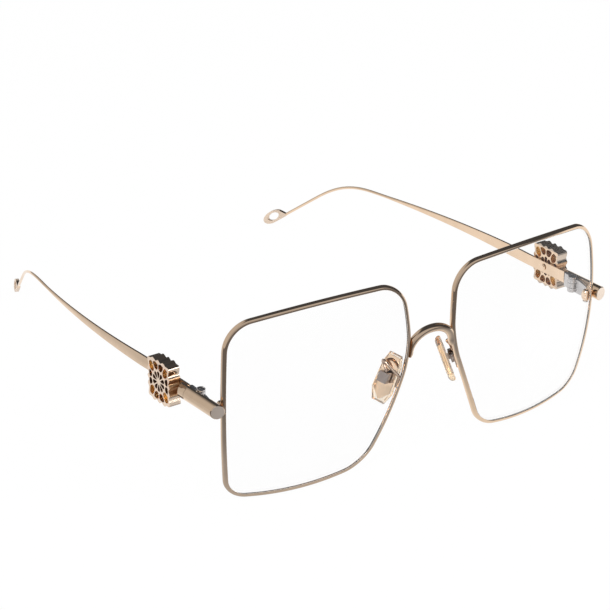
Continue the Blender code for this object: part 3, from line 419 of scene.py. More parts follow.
def wire_shape(path, diameter, sides=24):
    """A round wire along a path, with eased ends."""
    count = len(path)
    side = None
    rings = []
    radius = diameter / 2
    for i, point in enumerate(path):
        along = (path[min(i + 1, count - 1)] - path[max(i - 1, 0)]).normalized()
        if side is None:
            side = along.orthogonal().normalized()
        side = (side - along * side.dot(along)).normalized()
        other = along.cross(side)
        ends = [(0.0, 1.0)]
        if i == 0:
            ends = [(0.0, EASE_RADIUS), (EASE_LENGTH * diameter, 1.0)]
        elif i == count - 1:
            ends = [(-EASE_LENGTH * diameter, 1.0), (0.0, EASE_RADIUS)]
        for shift, share in ends:
            middle = point + along * shift
            rings.append([
                middle + (side * math.cos(a) + other * math.sin(a)) * (radius * share)
                for a in (math.tau * k / sides for k in range(sides))
            ])
    return lofted(rings)


def smooth_path(points, steps):
    """Points of a Catmull-Rom curve through the given ones."""
    ends = [points[0] * 2 - points[1], *points, points[-1] * 2 - points[-2]]
    path = []
    for p0, p1, p2, p3 in zip(ends, ends[1:], ends[2:], ends[3:]):
        for step in range(steps):
            t = step / steps
            path.append(
                0.5 * (2 * p1 + (p2 - p0) * t + (2 * p0 - 5 * p1 + 4 * p2 - p3) * t * t
                       + (3 * p1 - p0 - 3 * p2 + p3) * t * t * t)
            )
    path.append(points[-1].copy())
    return path


def mirrored(mesh):
    copy = mesh.copy()
    copy.transform(Matrix.Scale(-1.0, 4, (1.0, 0.0, 0.0)))
    copy.flip_normals()
    return copy


# Pieces
def add_piece(name, mesh, nodes, smooth_angle=40.0, others=()):
    """Adds a piece in the model's frame that stands for the nodes given and moves as they do. A face marked
    with a number gets the other material of that number, counted from 1."""
    mesh.name = name
    marks = [face.material_index for face in mesh.polygons]
    mesh.materials.clear()
    slot = NODE_SLOT[nodes[0]]
    mesh.materials.append(MATERIALS[slot])
    if any(marks):
        for other in others:
            mesh.materials.append(other)
        mesh.polygons.foreach_set("material_index", marks)
    mesh.shade_smooth()
    mesh.set_sharp_from_angle(angle=math.radians(smooth_angle))
    obj = bpy.data.objects.new(name, mesh)
    bpy.context.scene.collection.objects.link(obj)
    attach(obj, NODE_BODY[nodes[0]])
    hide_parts(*nodes)


def marked(mesh, index=1):
    """The mesh with one mark on all its faces."""
    mesh.polygons.foreach_set("material_index", [index] * len(mesh.polygons))
    return mesh


def add_pair(name, mesh, node, smooth_angle=40.0, others=()):
    """The piece for the wearer's left and its mirror image, from a mesh in the front's own frame."""
    twin = mirrored(mesh)
    mesh.transform(FRONT)
    twin.transform(FRONT)
    add_piece("left_" + name, mesh, ["left_" + node], smooth_angle, others)
    add_piece("right_" + name, twin, ["right_" + node], smooth_angle, others)


def add_softened(node, width):
    """A copy of a node with its edges rounded, as the real one's are."""
    mesh = bevelled(NODES[node].data.copy(), width)
    others = ()
    if node.endswith("endpiece"):
        others = (SATIN_GOLD,)
        for face in mesh.polygons:
            face.material_index = int(face.normal.y < -DISC_FACING)
    elif node.endswith("pad_core"):
        # The core's edges are painted darker, as shade
        others = (PAINTED_SHADE_BROWN_GOLD,)
        outward = pad_frame().to_3x3().col[2]
        outward.x *= 1 if node.startswith("left") else -1
        for face in mesh.polygons:
            face.material_index = int(abs(face.normal.dot(outward)) < CORE_FACING)
    add_piece(node + "_finished", mesh, [node], others=others)


def add_pebbled(nodes, times, others=()):
    """Copies of nodes, cut together to the shape of a pebble that is so many times as large as their box."""
    spots = [vertex.co for node in nodes for vertex in NODES[node].data.vertices]
    low = Vector([min(spot[i] for spot in spots) for i in range(3)])
    high = Vector([max(spot[i] for spot in spots) for i in range(3)])
    half = (high - low) / 2 * times
    bm = bmesh.new()
    bmesh.ops.create_icosphere(
        bm, subdivisions=5, radius=1.0,
        matrix=Matrix.Translation((low + high) / 2) @ Matrix.Diagonal((*half, 1.0)),
    )
    pebble = finished(bm, "pebble")
    for node in nodes:
        mesh = combined(NODES[node].data.copy(), within=[pebble.copy()])
        add_piece(node + "_finished", marked(mesh, len(others)), [node], others=others)


# Lens outline
def outline_corners():
    nasal = LENS_SPACING / 2
    temporal = nasal + LENS_WIDTH
    bottom = LENS_TOP - LENS_HEIGHT
    edges = [(nasal, LENS_TOP), (temporal, LENS_TOP), (temporal, bottom), (nasal, bottom), (nasal, LENS_TOP)]
    corners = []
    for (x, y), (across, down) in zip(edges, CORNER_INSETS):
        inward = 1 if x == nasal else -1
        below = -1 if y == LENS_TOP else 1
        corners.append(Vector((x + inward * across * MM, y + below * down * MM)))
    return corners


def outline_centre():
    corners = outline_corners()
    return sum(corners, Vector((0.0, 0.0))) / len(corners)


def side_point(start, end, bulge, t):
    """A point of a bowed side and its direction there."""
    along = end - start
    out = Vector((-along.y, along.x)).normalized()
    return start + along * t + out * (4 * t * (1 - t) * bulge), along + out * (4 * (1 - 2 * t) * bulge)


def lens_outline():
    """The outline's points, clockwise as the front sees the wearer's left lens."""
    corners = outline_corners()
    count = len(corners)
    points = []
    for i in range(count):
        start, end, after = corners[i], corners[(i + 1) % count], corners[(i + 2) % count]
        length, next_length = (end - start).length, (after - end).length
        blend = CORNER_BLENDS[(i + 1) % count]
        t0, t1 = CORNER_BLENDS[i] / length, 1 - blend / length
        steps = max(2, round((t1 - t0) * length / SIDE_STEP))
        for step in range(steps + 1):
            point, leaving = side_point(start, end, SIDE_BULGES[i], t0 + (t1 - t0) * step / steps)
            points.append(point)
        arrive, entering = side_point(end, after, SIDE_BULGES[(i + 1) % count], blend / next_length)
        gap = arrive - point
        reach = (gap.x * entering.y - gap.y * entering.x) / (leaving.x * entering.y - leaving.y * entering.x)
        control = point + leaving * reach
        for step in range(1, CORNER_STEPS):
            s = step / CORNER_STEPS
            weights = ((1 - s) ** 2, 2 * s * (1 - s) * CORNER_FULLNESS, s * s)
            total = sum(weights)
            points.append((point * weights[0] + control * weights[1] + arrive * weights[2]) / total)
    return points


def dished(u, v, depth=0.0):
    """A point of the lens plane, set back by the lens's curve and turned by the wrap."""
    centre = outline_centre()
    back = ((u - centre.x) ** 2 + (v - centre.y) ** 2) / (2 * LENS_RADIUS) + depth
    x = u * math.cos(WRAP_ANGLE) - back * math.sin(WRAP_ANGLE)
    y = u * math.sin(WRAP_ANGLE) + back * math.cos(WRAP_ANGLE)
    return Vector((x, y, v))


def outline_crossing(points, height, temporal):
    """Where the outline crosses a height on its temporal or nasal side: the index and the point."""
    found = []
    for i, start in enumerate(points):
        end = points[(i + 1) % len(points)]
        if (start.y - height) * (end.y - height) < 0:
            t = (height - start.y) / (end.y - start.y)
            found.append((start.x + (end.x - start.x) * t, i))
    u, index = max(found) if temporal else min(found)
    return index, Vector((u, height))


def nasal_rim(height):
    _, point = outline_crossing(lens_outline(), height, temporal=False)
    return dished(point.x, point.y)


def rounded_section():
    """The rim's section: a rounded bar with a groove on its inner side, as (across, depth) points."""
    half, deep, groove = RIM_WIDTH / 2, RIM_DEPTH / 2, GROOVE_WIDTH / 2
    points = [(-half, -groove)]
    steps = 5
    corners = [(-1, -1, math.pi), (1, -1, 1.5 * math.pi), (1, 1, 0.0), (-1, 1, 0.5 * math.pi)]
    for sx, sy, start in corners:
        curve = RIM_INNER_ROUND if sx < 0 else RIM_ROUND
        for step in range(steps + 1):
            angle = start + math.pi / 2 * step / steps
            across = sx * (half - curve) + curve * math.cos(angle)
            points.append((across, sy * (deep - curve) + curve * math.sin(angle)))
    points += [(-half, groove), (-half + GROOVE_DEPTH, 0.0)]
    return points


def rim_mesh():
    """A grooved wire round the outline, open at the split, then bent to the lens's curve."""
    points = lens_outline()
    split = LENS_TOP - SPLIT_DROP
    below, lower_end = outline_crossing(points, split - SPLIT_GAP / 2, temporal=True)
    above, upper_end = outline_crossing(points, split + SPLIT_GAP / 2, temporal=True)
    loop = [lower_end]
    index = (below + 1) % len(points)
    while index != above:
        loop.append(points[index])
        index = (index + 1) % len(points)
    loop.extend((points[above], upper_end))
    section = rounded_section()
    last = len(loop) - 1
    rings = []
    for i, point in enumerate(loop):
        along = (loop[min(i + 1, last)] - loop[max(i - 1, 0)]).normalized()
        out = Vector((-along.y, along.x))
        rings.append([dished(*(point + out * across), depth) for across, depth in section])
    return lofted(rings)


def lens_mesh():
    """The lens as rings that shrink from its bevelled edge to its middle, on both faces."""
    points = lens_outline()
    count = len(points)
    centre = outline_centre()
    normals = []
    for i, point in enumerate(points):
        along = (points[(i + 1) % count] - points[i - 1]).normalized()
        normals.append(Vector((-along.y, along.x)))
    half = LENS_THICKNESS / 2
    body = -RIM_WIDTH / 2 - LENS_INSET
    bevel = GROOVE_WIDTH / 2 - LENS_INSET
    edges = [(body, -half), (body, -bevel), (body + GROOVE_DEPTH, 0.0), (body, bevel), (body, half)]
    shares = [0.04, 0.1, 0.2, 0.3, 0.4, 0.5, 0.6, 0.7, 0.8, 0.9, 0.97]
    stops = [(body, share, -half) for share in shares]
    stops += [(inward, 1.0, depth) for inward, depth in edges]
    stops += [(body, share, half) for share in reversed(shares)]
    rings = []
    for inward, share, depth in stops:
        edge = [point + normal * inward for point, normal in zip(points, normals)]
        inner = [centre + (spot - centre) * share for spot in edge]
        rings.append([dished(spot.x, spot.y, depth) for spot in inner])
    return lofted(rings)


def bridge_mesh():
    """Half an ellipse on two short legs that lean outward, trimmed along the rims."""
    steps = 60
    foot = LENS_TOP - BRIDGE_FOOT_DROP
    rim = nasal_rim(foot)
    half_width = rim.x - BRIDGE_INSET
    path = [Vector((-half_width - BRIDGE_TURN, rim.y, foot - BRIDGE_LEG))]
    for step in range(steps + 1):
        angle = math.pi * (1 - step / steps)
        rise = BRIDGE_HEIGHT * math.sin(angle)
        path.append(Vector((half_width * math.cos(angle), rim.y, foot + rise)))
    path.append(Vector((half_width + BRIDGE_TURN, rim.y, foot - BRIDGE_LEG)))
    arch = wire_shape(path, BRIDGE_WIRE, sides=32)
    rise = nasal_rim(foot + RIM_SLOPE_REACH) - nasal_rim(foot - RIM_SLOPE_REACH)
    for side in (-1, 1):
        inward = Vector((side * rise.z, 0.0, -rise.x)).normalized()
        spot = Vector((side * rim.x, rim.y, foot)) - inward * BRIDGE_TRIM
        bm = bmesh.new()
        bm.from_mesh(arch)
        cut = bmesh.ops.bisect_plane(
            bm, geom=bm.verts[:] + bm.edges[:] + bm.faces[:],
            plane_co=spot, plane_no=inward, clear_outer=True,
        )
        edges = [item for item in cut["geom_cut"] if isinstance(item, bmesh.types.BMEdge)]
        bmesh.ops.edgeloop_fill(bm, edges=edges)
        arch = finished(bm, "arch")
    return arch


def hull(points):
    return [points[i] for i in geometry.convex_hull_2d([Vector(p) for p in points])]


def circle_points(centre, radius, count=48):
    angles = [math.tau * i / count for i in range(count)]
    return [(centre[0] + radius * math.cos(a), centre[1] + radius * math.sin(a)) for a in angles]


def ellipse_points(centre, half):
    """Points of an ellipse, from its middle and half sizes."""
    return [(centre[0] + half[0] * x, centre[1] + half[1] * y) for x, y in circle_points((0.0, 0.0), 1.0)]


def cylinder(start, end, diameter, sides=32):
    start, end = Vector(start), Vector(end)
    along = end - start
    place = Matrix.Translation((start + end) / 2) @ along.to_track_quat("Z", "Y").to_matrix().to_4x4()
    bm = bmesh.new()
    bmesh.ops.create_cone(
        bm, cap_ends=True, segments=sides, radius1=diameter / 2, radius2=diameter / 2,
        depth=along.length, matrix=place,
    )
    return finished(bm, "cylinder")


def temple_start():
    """Where the bar begins, at the middle of its thickness and height."""
    rim_points = [dished(point.x, point.y) for point in lens_outline()]
    outermost = max(rim_points, key=lambda spot: spot.x)
    rod_x = outermost.x + RIM_WIDTH / 2 + SEAT_GAP + ROD_DIAMETER / 2
    back = BAR_SETBACK + BAR_HEIGHT / 2 * math.sin(BAR_DROP)
    return Vector((
        rod_x - FLAT_OFFSET - SEAT_GAP - BAR_THICKNESS / 2,
        outermost.y - RIM_DEPTH / 2 - ROD_OVERHANG + back,
        LENS_TOP - ROD_DROP - back * math.tan(ROD_SLOPE) + BAR_LIFT,
    ))


def eased(value):
    """Rises smoothly from 0 at 0 to 1 at 1."""
    value = min(1.0, max(0.0, value))
    return value * value * (3 - 2 * value)


def temple_frames():
    """Stations along the temple: distance, point, outward side, up and forward directions."""
    bend_start = BAR_STRAIGHT + BOW_LENGTH
    length = bend_start + EAR_BEND_LENGTH + TIP_LENGTH
    count = 80
    stops = [length * i / count for i in range(count + 1)]
    point = temple_start()
    frames = []
    travelled = 0.0

    def heading(distance):
        """The bar's direction and its outward side: a flare, an inward bow, then the ear's bend."""
        bow = min(1.0, max(0.0, (distance - BAR_STRAIGHT) / BOW_LENGTH))
        turn = eased((distance - bend_start) / EAR_BEND_LENGTH)
        inward = eased(bow / FLARE_SHARE) * FLARE_ANGLE + (BOW_ANGLE - FLARE_ANGLE) * bow
        inward += (EAR_ANGLE - BOW_ANGLE) * turn
        drop = BAR_DROP + (BOW_DROP - BAR_DROP) * bow + (EAR_DROP - BOW_DROP) * turn
        level = math.cos(drop)
        ahead = Vector((-math.sin(inward) * level, math.cos(inward) * level, -math.sin(drop)))
        side = Vector((math.cos(inward), math.sin(inward), 0.0))
        return ahead, side

    for stop in stops:
        while stop - travelled > TINY:
            step = min(PATH_STEP, stop - travelled)
            point = point + heading(travelled + step / 2)[0] * step
            travelled += step
        ahead, side = heading(stop)
        frames.append((stop, point.copy(), side, side.cross(ahead), ahead))
    return frames


def temple_section(distance, point, side, up):
    """A flat bar with round edges and slightly crowned faces that turns into a round wire."""
    share = min(1.0, max(0.0, (distance - TAPER_START) / (TAPER_END - TAPER_START)))
    high = (BAR_HEIGHT + (EAR_WIRE - BAR_HEIGHT) * share) / 2
    wide = (BAR_THICKNESS + (EAR_WIRE - BAR_THICKNESS) * share) / 2
    edge = BAR_ROUND + (EAR_WIRE / 2 - BAR_ROUND) * share
    crown = BAR_CROWN * (1 - share)
    corner_steps, face_steps = 5, 4
    ring = []
    for quarter in range(4):
        start = quarter * math.pi / 2
        sx = 1 if quarter in (0, 3) else -1
        sz = 1 if quarter in (0, 1) else -1
        for step in range(corner_steps + 1):
            angle = start + math.pi / 2 * step / corner_steps
            x = sx * (wide - crown - edge) + edge * math.cos(angle)
            z = sz * (high - edge) + edge * math.sin(angle)
            ring.append((x, z))
        if quarter in (1, 3):
            for step in range(1, face_steps):
                z = (high - edge) * (1 - 2 * step / face_steps) * sz
                bulge = crown * (1 - (z / max(high - edge, TINY)) ** 2)
                ring.append((sx * (wide - crown + bulge), z))
    return [point + side * x + up * z for x, z in ring]


def eyelet_mesh(point, side, up, ahead):
    """The eyelet as a round-edged loop, drawn in the plane of the wire's direction and up."""
    rim = circle_points((0.0, 0.0), EYELET_NECK_RADIUS) + ellipse_points(EYELET_MIDDLE, EYELET_HALF)
    hole = ellipse_points(EYELET_HOLE_MIDDLE, EYELET_HOLE_HALF)
    shape = bevelled(flat_shape(hull(rim), EYELET_THICKNESS, [hole]), EYELET_ROUND, segments=4)
    turn = Matrix((ahead, up, side)).transposed().to_4x4()
    shape.transform(Matrix.Translation(point) @ turn)
    return shape


def rivet_matrix():
    """The medallion's frame: X along the bar, Y up across it and Z outward through it."""
    direction = Vector((0.0, math.cos(BAR_DROP), -math.sin(BAR_DROP)))
    across = Vector((0.0, math.sin(BAR_DROP), math.cos(BAR_DROP)))
    turn = Matrix((direction, across, Vector((1.0, 0.0, 0.0)))).transposed().to_4x4()
    middle = temple_start() + direction * MEDALLION_SETBACK + across * MEDALLION_LIFT
    return Matrix.Translation(middle) @ turn


def temple_mesh():
    """The bar with its eyelet and the rivet's hole; the faces past the wire's end are marked."""
    frames = temple_frames()
    bar = lofted([temple_section(*frame[:4]) for frame in frames])
    _, point, side, up, ahead = frames[-1]
    eyelet = eyelet_mesh(point - ahead * EYELET_NECK_RADIUS, side, up, ahead)
    hole = cylinder((0.0, 0.0, -BAR_HEIGHT), (0.0, 0.0, BAR_HEIGHT), RIVET_SHANK)
    hole.transform(rivet_matrix())
    bar = combined(bar, joined=[eyelet], cut=[hole])
    for face in bar.polygons:
        face.material_index = int((face.center - point).dot(ahead) > 0.0)
    return bar


def medallion_radius(angle, inset):
    """Distance from the middle to a rounded, squarish outline, less an inset."""
    half_length, half_height = MEDALLION_LENGTH / 2 - inset, MEDALLION_HEIGHT / 2 - inset
    power = MEDALLION_SQUARENESS
    total = abs(math.cos(angle) / half_length) ** power + abs(math.sin(angle) / half_height) ** power
    return total ** (-1 / power)


def rayed_opening(middle, count, start, end):
    """A rounded opening between two rays; it reaches from a radius to the one that a function gives."""
    steps = 9
    sides = ([], [])
    for i in range(steps + 1):
        along = i / steps
        fullness = max(0.0, 1 - abs(2 * along - 1) ** OPENING_FULLNESS) ** 0.5
        for side, points in ((1, sides[0]), (-1, sides[1])):
            radius = start + (end(middle) - start) * along
            half = (math.pi / count - LACE_LINE / 2 / radius) * fullness
            angle = middle + side * half
            radius = start + (end(angle) - start) * along
            points.append((radius * math.cos(angle), radius * math.sin(angle)))
    return sides[0] + sides[1][-2:0:-1]


def medallion_openings():
    """Through holes as in a rose window: a ring of petals round the boss and arches out to the edge."""
    inset = LACE_LINE + 2 * MEDALLION_SCALLOP
    openings = []
    for k in range(PETALS):
        middle = math.tau * (k + 0.5) / PETALS
        openings.append(rayed_opening(middle, PETALS, BOSS_RADIUS, lambda angle: PETAL_END))
    for k in range(ARCHES):
        middle = math.tau * (k + 0.5) / ARCHES
        openings.append(rayed_opening(
            middle, ARCHES, PETAL_END + LACE_LINE, lambda angle: medallion_radius(angle, inset),
        ))
    return openings


def medallion_mesh():
    """A lobed openwork tile, with its walls, outer face and sides marked for painted light and shade."""
    steps = 256
    rim = []
    for i in range(steps):
        angle = math.tau * i / steps
        lobe = MEDALLION_SCALLOP * math.cos(MEDALLION_LOBES * angle)
        radius = medallion_radius(angle, MEDALLION_SCALLOP) + lobe
        rim.append((radius * math.cos(angle), radius * math.sin(angle)))
    tile = flat_shape(rim, MEDALLION_THICKNESS, medallion_openings())
    tile = bevelled(tile, MEDALLION_BEVEL, segments=2)
    for face in tile.polygons:
        spot = face.center
        angle = math.atan2(spot.y, spot.x)
        inside = spot.xy.length < medallion_radius(angle, LACE_LINE / 2 + 2 * MEDALLION_SCALLOP)
        corner = min(abs(spot.x) / MEDALLION_LENGTH, abs(spot.y) / MEDALLION_HEIGHT) > PAINTED_LIGHT_CORNER
        # Painted light on the outer face and on the walls at the corners, painted shade on the other walls
        # and the sides
        gold = None
        if face.normal.z > OUTER_FACING:
            gold = PAINTED_LIGHT_LACE_GOLD
        elif inside and abs(face.normal.z) < WALL_FACING:
            gold = PAINTED_LIGHT_AMBER_GOLD if corner else PAINTED_SHADE_INNER_GOLD
        elif not inside and abs(face.normal.y) < LEVEL_FACING:
            gold = PAINTED_SHADE_INNER_GOLD if abs(spot.y) < MEDALLION_WAIST else PAINTED_SHADE_SIDE_GOLD
        face.material_index = 0 if gold is None else MEDALLION_LIGHT_AND_SHADE_GOLDS.index(gold) + 1
    lift = BAR_THICKNESS / 2 + SEAT_GAP + MEDALLION_THICKNESS / 2
    tile.transform(rivet_matrix() @ Matrix.Translation((0.0, 0.0, lift)))
    return tile


def pad_frame():
    """The pad's frame at its pivot: X along the pivot's axis, Y up the pad and Z outward."""
    level = Vector((math.cos(PAD_SPLAY), -math.sin(PAD_SPLAY), 0.0))
    run = math.cos(PAD_TILT)
    axis = Vector((math.sin(PAD_SPLAY) * run, math.cos(PAD_SPLAY) * run, math.sin(PAD_TILT)))
    upward = level.cross(axis) * math.cos(PAD_LEAN) - level * math.sin(PAD_LEAN)
    outward = axis.cross(upward)
    turn = Matrix((axis, upward, outward)).transposed().to_4x4()
    middle = Vector(PAD_MIDDLE) * MM
    return Matrix.Translation(middle + upward * PIVOT_LIFT + outward * PIVOT_HEIGHT) @ turn


def pad_arm_mesh():
    """Bent wire: up the rear of the rim, back over the pad and down to the top of its box."""
    behind = Vector((0.0, RIM_DEPTH / 2 + SEAT_GAP + ARM_WIRE / 2, 0.0))
    root = LENS_TOP - ARM_ROOT_DROP
    place = pad_frame()
    top = BOX_HEIGHT / 2 + SEAT_GAP
    start = nasal_rim(root - ARM_ROOT_LENGTH) + behind
    bends = [
        nasal_rim(root) + behind,
        place.translation + Vector((0.0, 0.0, ARM_RISE)),
        place @ Vector((ARM_HOOK, top + ARM_RISE / 2, ARM_OFFSET / 3)),
        place @ Vector((ARM_HOOK / 2, top + ARM_RISE / 3, ARM_OFFSET)),
        place @ Vector((0.0, top + ARM_FOOT, ARM_OFFSET)),
    ]
    end = place @ Vector((0.0, top, ARM_OFFSET))
    return wire_shape([start, *smooth_path(bends, steps=10), end], ARM_WIRE)


add_pair("rim_wire", rim_mesh(), "rim", smooth_angle=50.0)
add_pair("temple_bar", temple_mesh(), "temple", others=(LOOP_GOLD,))
add_pair("medallion_openwork", medallion_mesh(), "medallion", others=MEDALLION_LIGHT_AND_SHADE_GOLDS)
# The pad arm is painted a darker gold all over, as shade
add_pair("pad_arm_wire", marked(pad_arm_mesh()), "pad_arm", others=(PAINTED_SHADE_BROWN_GOLD,))
add_pair("lens_shell", lens_mesh(), "lens", smooth_angle=30.0)
arch = bridge_mesh()
arch.transform(FRONT)
add_piece("bridge_arch", arch, ["bridge"])


# Nodes whose shape is right, with their edges eased by these widths in millimetres
SOFTENED = {
    "closing_screw": 0.06, "endpiece": 0.2,
    "front_hinge": 0.12, "hinge_screw": 0.08, "medallion_rivet": 0.06, "nose_pad": 0.2,
    "pad_core": 0.06, "pad_screw": 0.05, "temple_hinge": 0.12, "temple_rod": 0.2,
}
for side in ("left_", "right_"):
    for node, width in SOFTENED.items():
        add_softened(side + node, width * MM)
    add_pebbled([side + "closing_block_lower", side + "closing_block_upper"], CLOSING_PEBBLE)
    # The pad box is steel painted darker, as the shade it sits in
    add_pebbled([side + "pad_box"], BOX_PEBBLE, (PAINTED_SHADE_BOX_STEEL,))


# Floor, light and camera

# Places of the two colours and of the result on a mix node
MIX_COLOURS = (6, 7)
MIX_RESULT = 2

# Directions in which the floor's and the room's tones change, and how far from the middle the floor's do
FLOOR_BACKWARD = (1.0, 2.2, 0.0)
FLOOR_RIGHTWARD = (1.0, 0.0, 0.0)
FLOOR_DEPTH = 0.4
FLOOR_BREADTH = 0.2
ROOM_LEFTWARD = (-0.8, 0.4, 0.0)
ROOM_FORWARD = (-0.5, -0.8, -0.3)

# Share of the floor's glow that the camera sees, also through glass, and that metal mirrors
CLEAR_SHARE = 0.97
GLOSSY_SHARE = 0.95

# The room's even light on what isn't polished, and where the lamps point
EVEN_LIGHT = 0.85
LAMP_AIM = (0.0, -0.05, 0.03)


def larger_of(nodes, links, first, second):
    node = nodes.new("ShaderNodeMath")
    node.operation = "MAXIMUM"
    links.new(first, node.inputs[0])
    links.new(second, node.inputs[1])
    return node.outputs[0]


def scaled(nodes, links, value, factor):
    node = nodes.new("ShaderNodeMath")
    node.operation = "MULTIPLY"
    node.inputs[1].default_value = factor
    links.new(value, node.inputs[0])
    return node.outputs[0]


def chosen(nodes, links, share, first, second):
    """A blend of two colours, each a socket or a plain grey."""
    mix = nodes.new("ShaderNodeMix")
    mix.data_type = "RGBA"
    links.new(share, mix.inputs["Factor"])
    for index, colour in zip(MIX_COLOURS, (first, second)):
        if isinstance(colour, float):
            mix.inputs[index].default_value = (colour, colour, colour, 1.0)
        else:
            links.new(colour, mix.inputs[index])
    return mix.outputs[MIX_RESULT]


def mixed(nodes, links, first, second, blend):
    """Two colours put together wholly in one of the mix node's ways."""
    mix = nodes.new("ShaderNodeMix")
    mix.data_type = "RGBA"
    mix.blend_type = blend
    mix.inputs["Factor"].default_value = 1.0
    for index, colour in zip(MIX_COLOURS, (first, second)):
        links.new(colour, mix.inputs[index])
    return mix.outputs[MIX_RESULT]


def along(nodes, links, socket, direction):
    """How far a place or a direction lies along another direction."""
    node = nodes.new("ShaderNodeVectorMath")
    node.operation = "DOT_PRODUCT"
    node.inputs[1].default_value = direction
    links.new(socket, node.inputs[0])
    return node.outputs["Value"]


def ranged(nodes, links, value, low, high):
    node = nodes.new("ShaderNodeMapRange")
    node.inputs["From Min"].default_value = low
    node.inputs["From Max"].default_value = high
    links.new(value, node.inputs["Value"])
    return node.outputs["Result"]


def grey(level):
    return (level, level, level)


def add_floor():
    """A pale floor: white to the camera and through glass. In metal it is white behind and to the right
    of the frame and dark in front and to the left, as a table lit from behind."""
    bm = bmesh.new()
    bmesh.ops.create_grid(bm, x_segments=1, y_segments=1, size=4.0)
    mesh = finished(bm, "floor")
    floor = bpy.data.objects.new("floor", mesh)
    bpy.context.scene.collection.objects.link(floor)
    mat, nodes, links, shader = new_material("floor")
    shader.inputs["Base Color"].default_value = (0.85, 0.85, 0.85, 1.0)
    shader.inputs["Roughness"].default_value = 1.0
    path = nodes.new("ShaderNodeLightPath")
    place = nodes.new("ShaderNodeTexCoord")
    backward = along(nodes, links, place.outputs["Object"], FLOOR_BACKWARD)
    deep = ramp(nodes, links, ranged(nodes, links, backward, -FLOOR_DEPTH, 0.0), [
        (0.0, (0.10, 0.10, 0.11)), (0.15, (0.15, 0.16, 0.18)), (0.3, (0.22, 0.24, 0.28)),
        (0.4, (0.33, 0.35, 0.39)), (0.48, (0.5, 0.52, 0.55)), (0.55, (0.62, 0.62, 0.62)),
        (0.62, (0.84, 0.84, 0.83)), (0.7, grey(1.0)),
    ])
    rightward = along(nodes, links, place.outputs["Object"], FLOOR_RIGHTWARD)
    left = ramp(nodes, links, ranged(nodes, links, rightward, -FLOOR_BREADTH, 0.0), [
        (0.0, grey(0.62)), (0.5, grey(0.64)), (0.64, grey(1.0)),
    ])
    lit = mixed(nodes, links, deep, left, "DARKEN")
    glow = nodes.new("ShaderNodeEmission")
    clear = larger_of(nodes, links, path.outputs["Is Camera Ray"], path.outputs["Is Transmission Ray"])
    links.new(chosen(nodes, links, clear, lit, 1.0), glow.inputs["Color"])
    share = larger_of(
        nodes, links, scaled(nodes, links, clear, CLEAR_SHARE),
        scaled(nodes, links, path.outputs["Is Glossy Ray"], GLOSSY_SHARE),
    )
    mix = nodes.new("ShaderNodeMixShader")
    links.new(share, mix.inputs["Fac"])
    links.new(shader.outputs["BSDF"], mix.inputs[1])
    links.new(glow.outputs["Emission"], mix.inputs[2])
    links.new(mix.outputs["Shader"], nodes["Material Output"].inputs["Surface"])
    mesh.materials.append(mat)


def add_world():
    """Even light on the object, white to the camera; metal mirrors a dark room with two soft lights."""
    world = bpy.data.worlds.new("studio")
    bpy.context.scene.world = world
    world.use_nodes = True
    nodes, links = world.node_tree.nodes, world.node_tree.links
    place = nodes.new("ShaderNodeTexCoord")
    path = nodes.new("ShaderNodeLightPath")
    leftward = along(nodes, links, place.outputs["Generated"], ROOM_LEFTWARD)
    rear = ramp(nodes, links, leftward, [
        (0.0, (0.06, 0.065, 0.075)), (0.14, (0.1, 0.1, 0.1)), (0.24, (0.5, 0.49, 0.48)),
        (0.5, (0.6, 0.59, 0.58)),
    ])
    forward = along(nodes, links, place.outputs["Generated"], ROOM_FORWARD)
    front = ramp(nodes, links, forward, [
        (0.1, (0.0, 0.0, 0.0)), (0.2, (0.55, 0.56, 0.58)), (0.6, (0.55, 0.55, 0.56)),
        (0.8, (0.4, 0.4, 0.41)),
    ])
    room = mixed(nodes, links, rear, front, "LIGHTEN")
    lit = chosen(nodes, links, path.outputs["Is Glossy Ray"], EVEN_LIGHT, room)
    clear = larger_of(nodes, links, path.outputs["Is Camera Ray"], path.outputs["Is Transmission Ray"])
    links.new(chosen(nodes, links, clear, lit, 1.0), nodes["Background"].inputs["Color"])


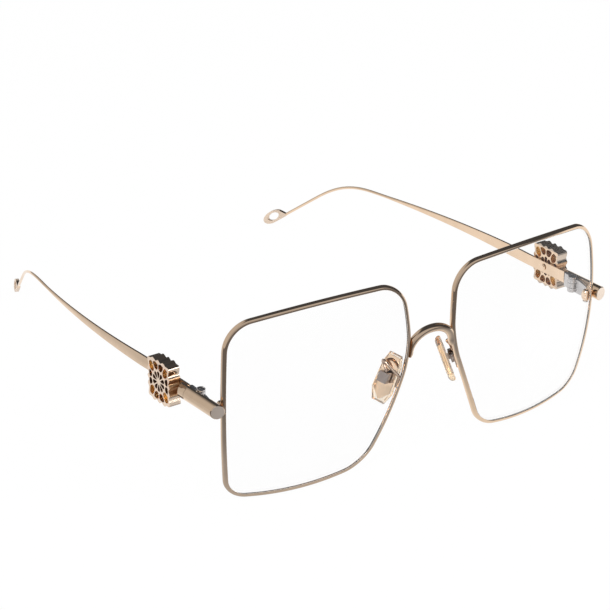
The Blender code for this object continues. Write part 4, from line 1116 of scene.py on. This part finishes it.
def add_lamp(name, place, size, power):
    """A soft lamp that points at the frame and doesn't show in its metal."""
    data = bpy.data.lights.new(name, "AREA")
    data.shape = "RECTANGLE"
    data.size, data.size_y = size
    data.energy = power
    lamp = bpy.data.objects.new(name, data)
    bpy.context.scene.collection.objects.link(lamp)
    lamp.visible_glossy = False
    lamp.location = place
    aim = Vector(LAMP_AIM) - Vector(place)
    lamp.rotation_euler = aim.to_track_quat("-Z", "Y").to_euler()


# The camera as fitted to the two lens outlines: its angles and its distance in the front's frame
CAMERA_AZIMUTH = math.radians(-35.527)
CAMERA_ELEVATION = math.radians(27.211)
CAMERA_ROLL = math.radians(1.83)
CAMERA_DISTANCE = 703.13 * MM

# Where it aims, in millimetres
CAMERA_AIM = (-45.797, 0.0, 25.733)

# Its focal length, the picture's width and the shift of its middle, in pixels
FOCAL_PIXELS = 2626.75
IMAGE_PIXELS = 610
CENTRE_SHIFT = (2.014, 0.661)


def add_camera():
    level = math.cos(CAMERA_ELEVATION)
    back = Vector((
        math.sin(CAMERA_AZIMUTH) * level, -math.cos(CAMERA_AZIMUTH) * level, math.sin(CAMERA_ELEVATION),
    ))
    right = Vector((math.cos(CAMERA_AZIMUTH), math.sin(CAMERA_AZIMUTH), 0.0))
    up = back.cross(right)
    across = right * math.cos(CAMERA_ROLL) + up * math.sin(CAMERA_ROLL)
    above = up * math.cos(CAMERA_ROLL) - right * math.sin(CAMERA_ROLL)
    turn = Matrix((across, above, back)).transposed().to_4x4()
    spot = Vector(CAMERA_AIM) * MM + back * CAMERA_DISTANCE
    data = bpy.data.cameras.new("camera")
    data.sensor_width = 36.0
    data.lens = FOCAL_PIXELS / IMAGE_PIXELS * data.sensor_width
    data.shift_x = -CENTRE_SHIFT[0] / IMAGE_PIXELS
    data.shift_y = CENTRE_SHIFT[1] / IMAGE_PIXELS
    data.clip_start = 0.05
    data.clip_end = 20.0
    camera = bpy.data.objects.new("camera", data)
    bpy.context.scene.collection.objects.link(camera)
    camera.matrix_world = FRONT @ Matrix.Translation(spot) @ turn
    bpy.context.scene.camera = camera


add_floor()
add_world()
add_lamp("side_softbox", place=(0.75, -0.85, 0.35), size=(0.7, 0.6), power=9.0)
add_lamp("key_softbox", place=(-0.8, -0.5, 0.7), size=(0.5, 0.5), power=6.0)
add_camera()
bpy.context.scene.view_settings.view_transform = "Standard"
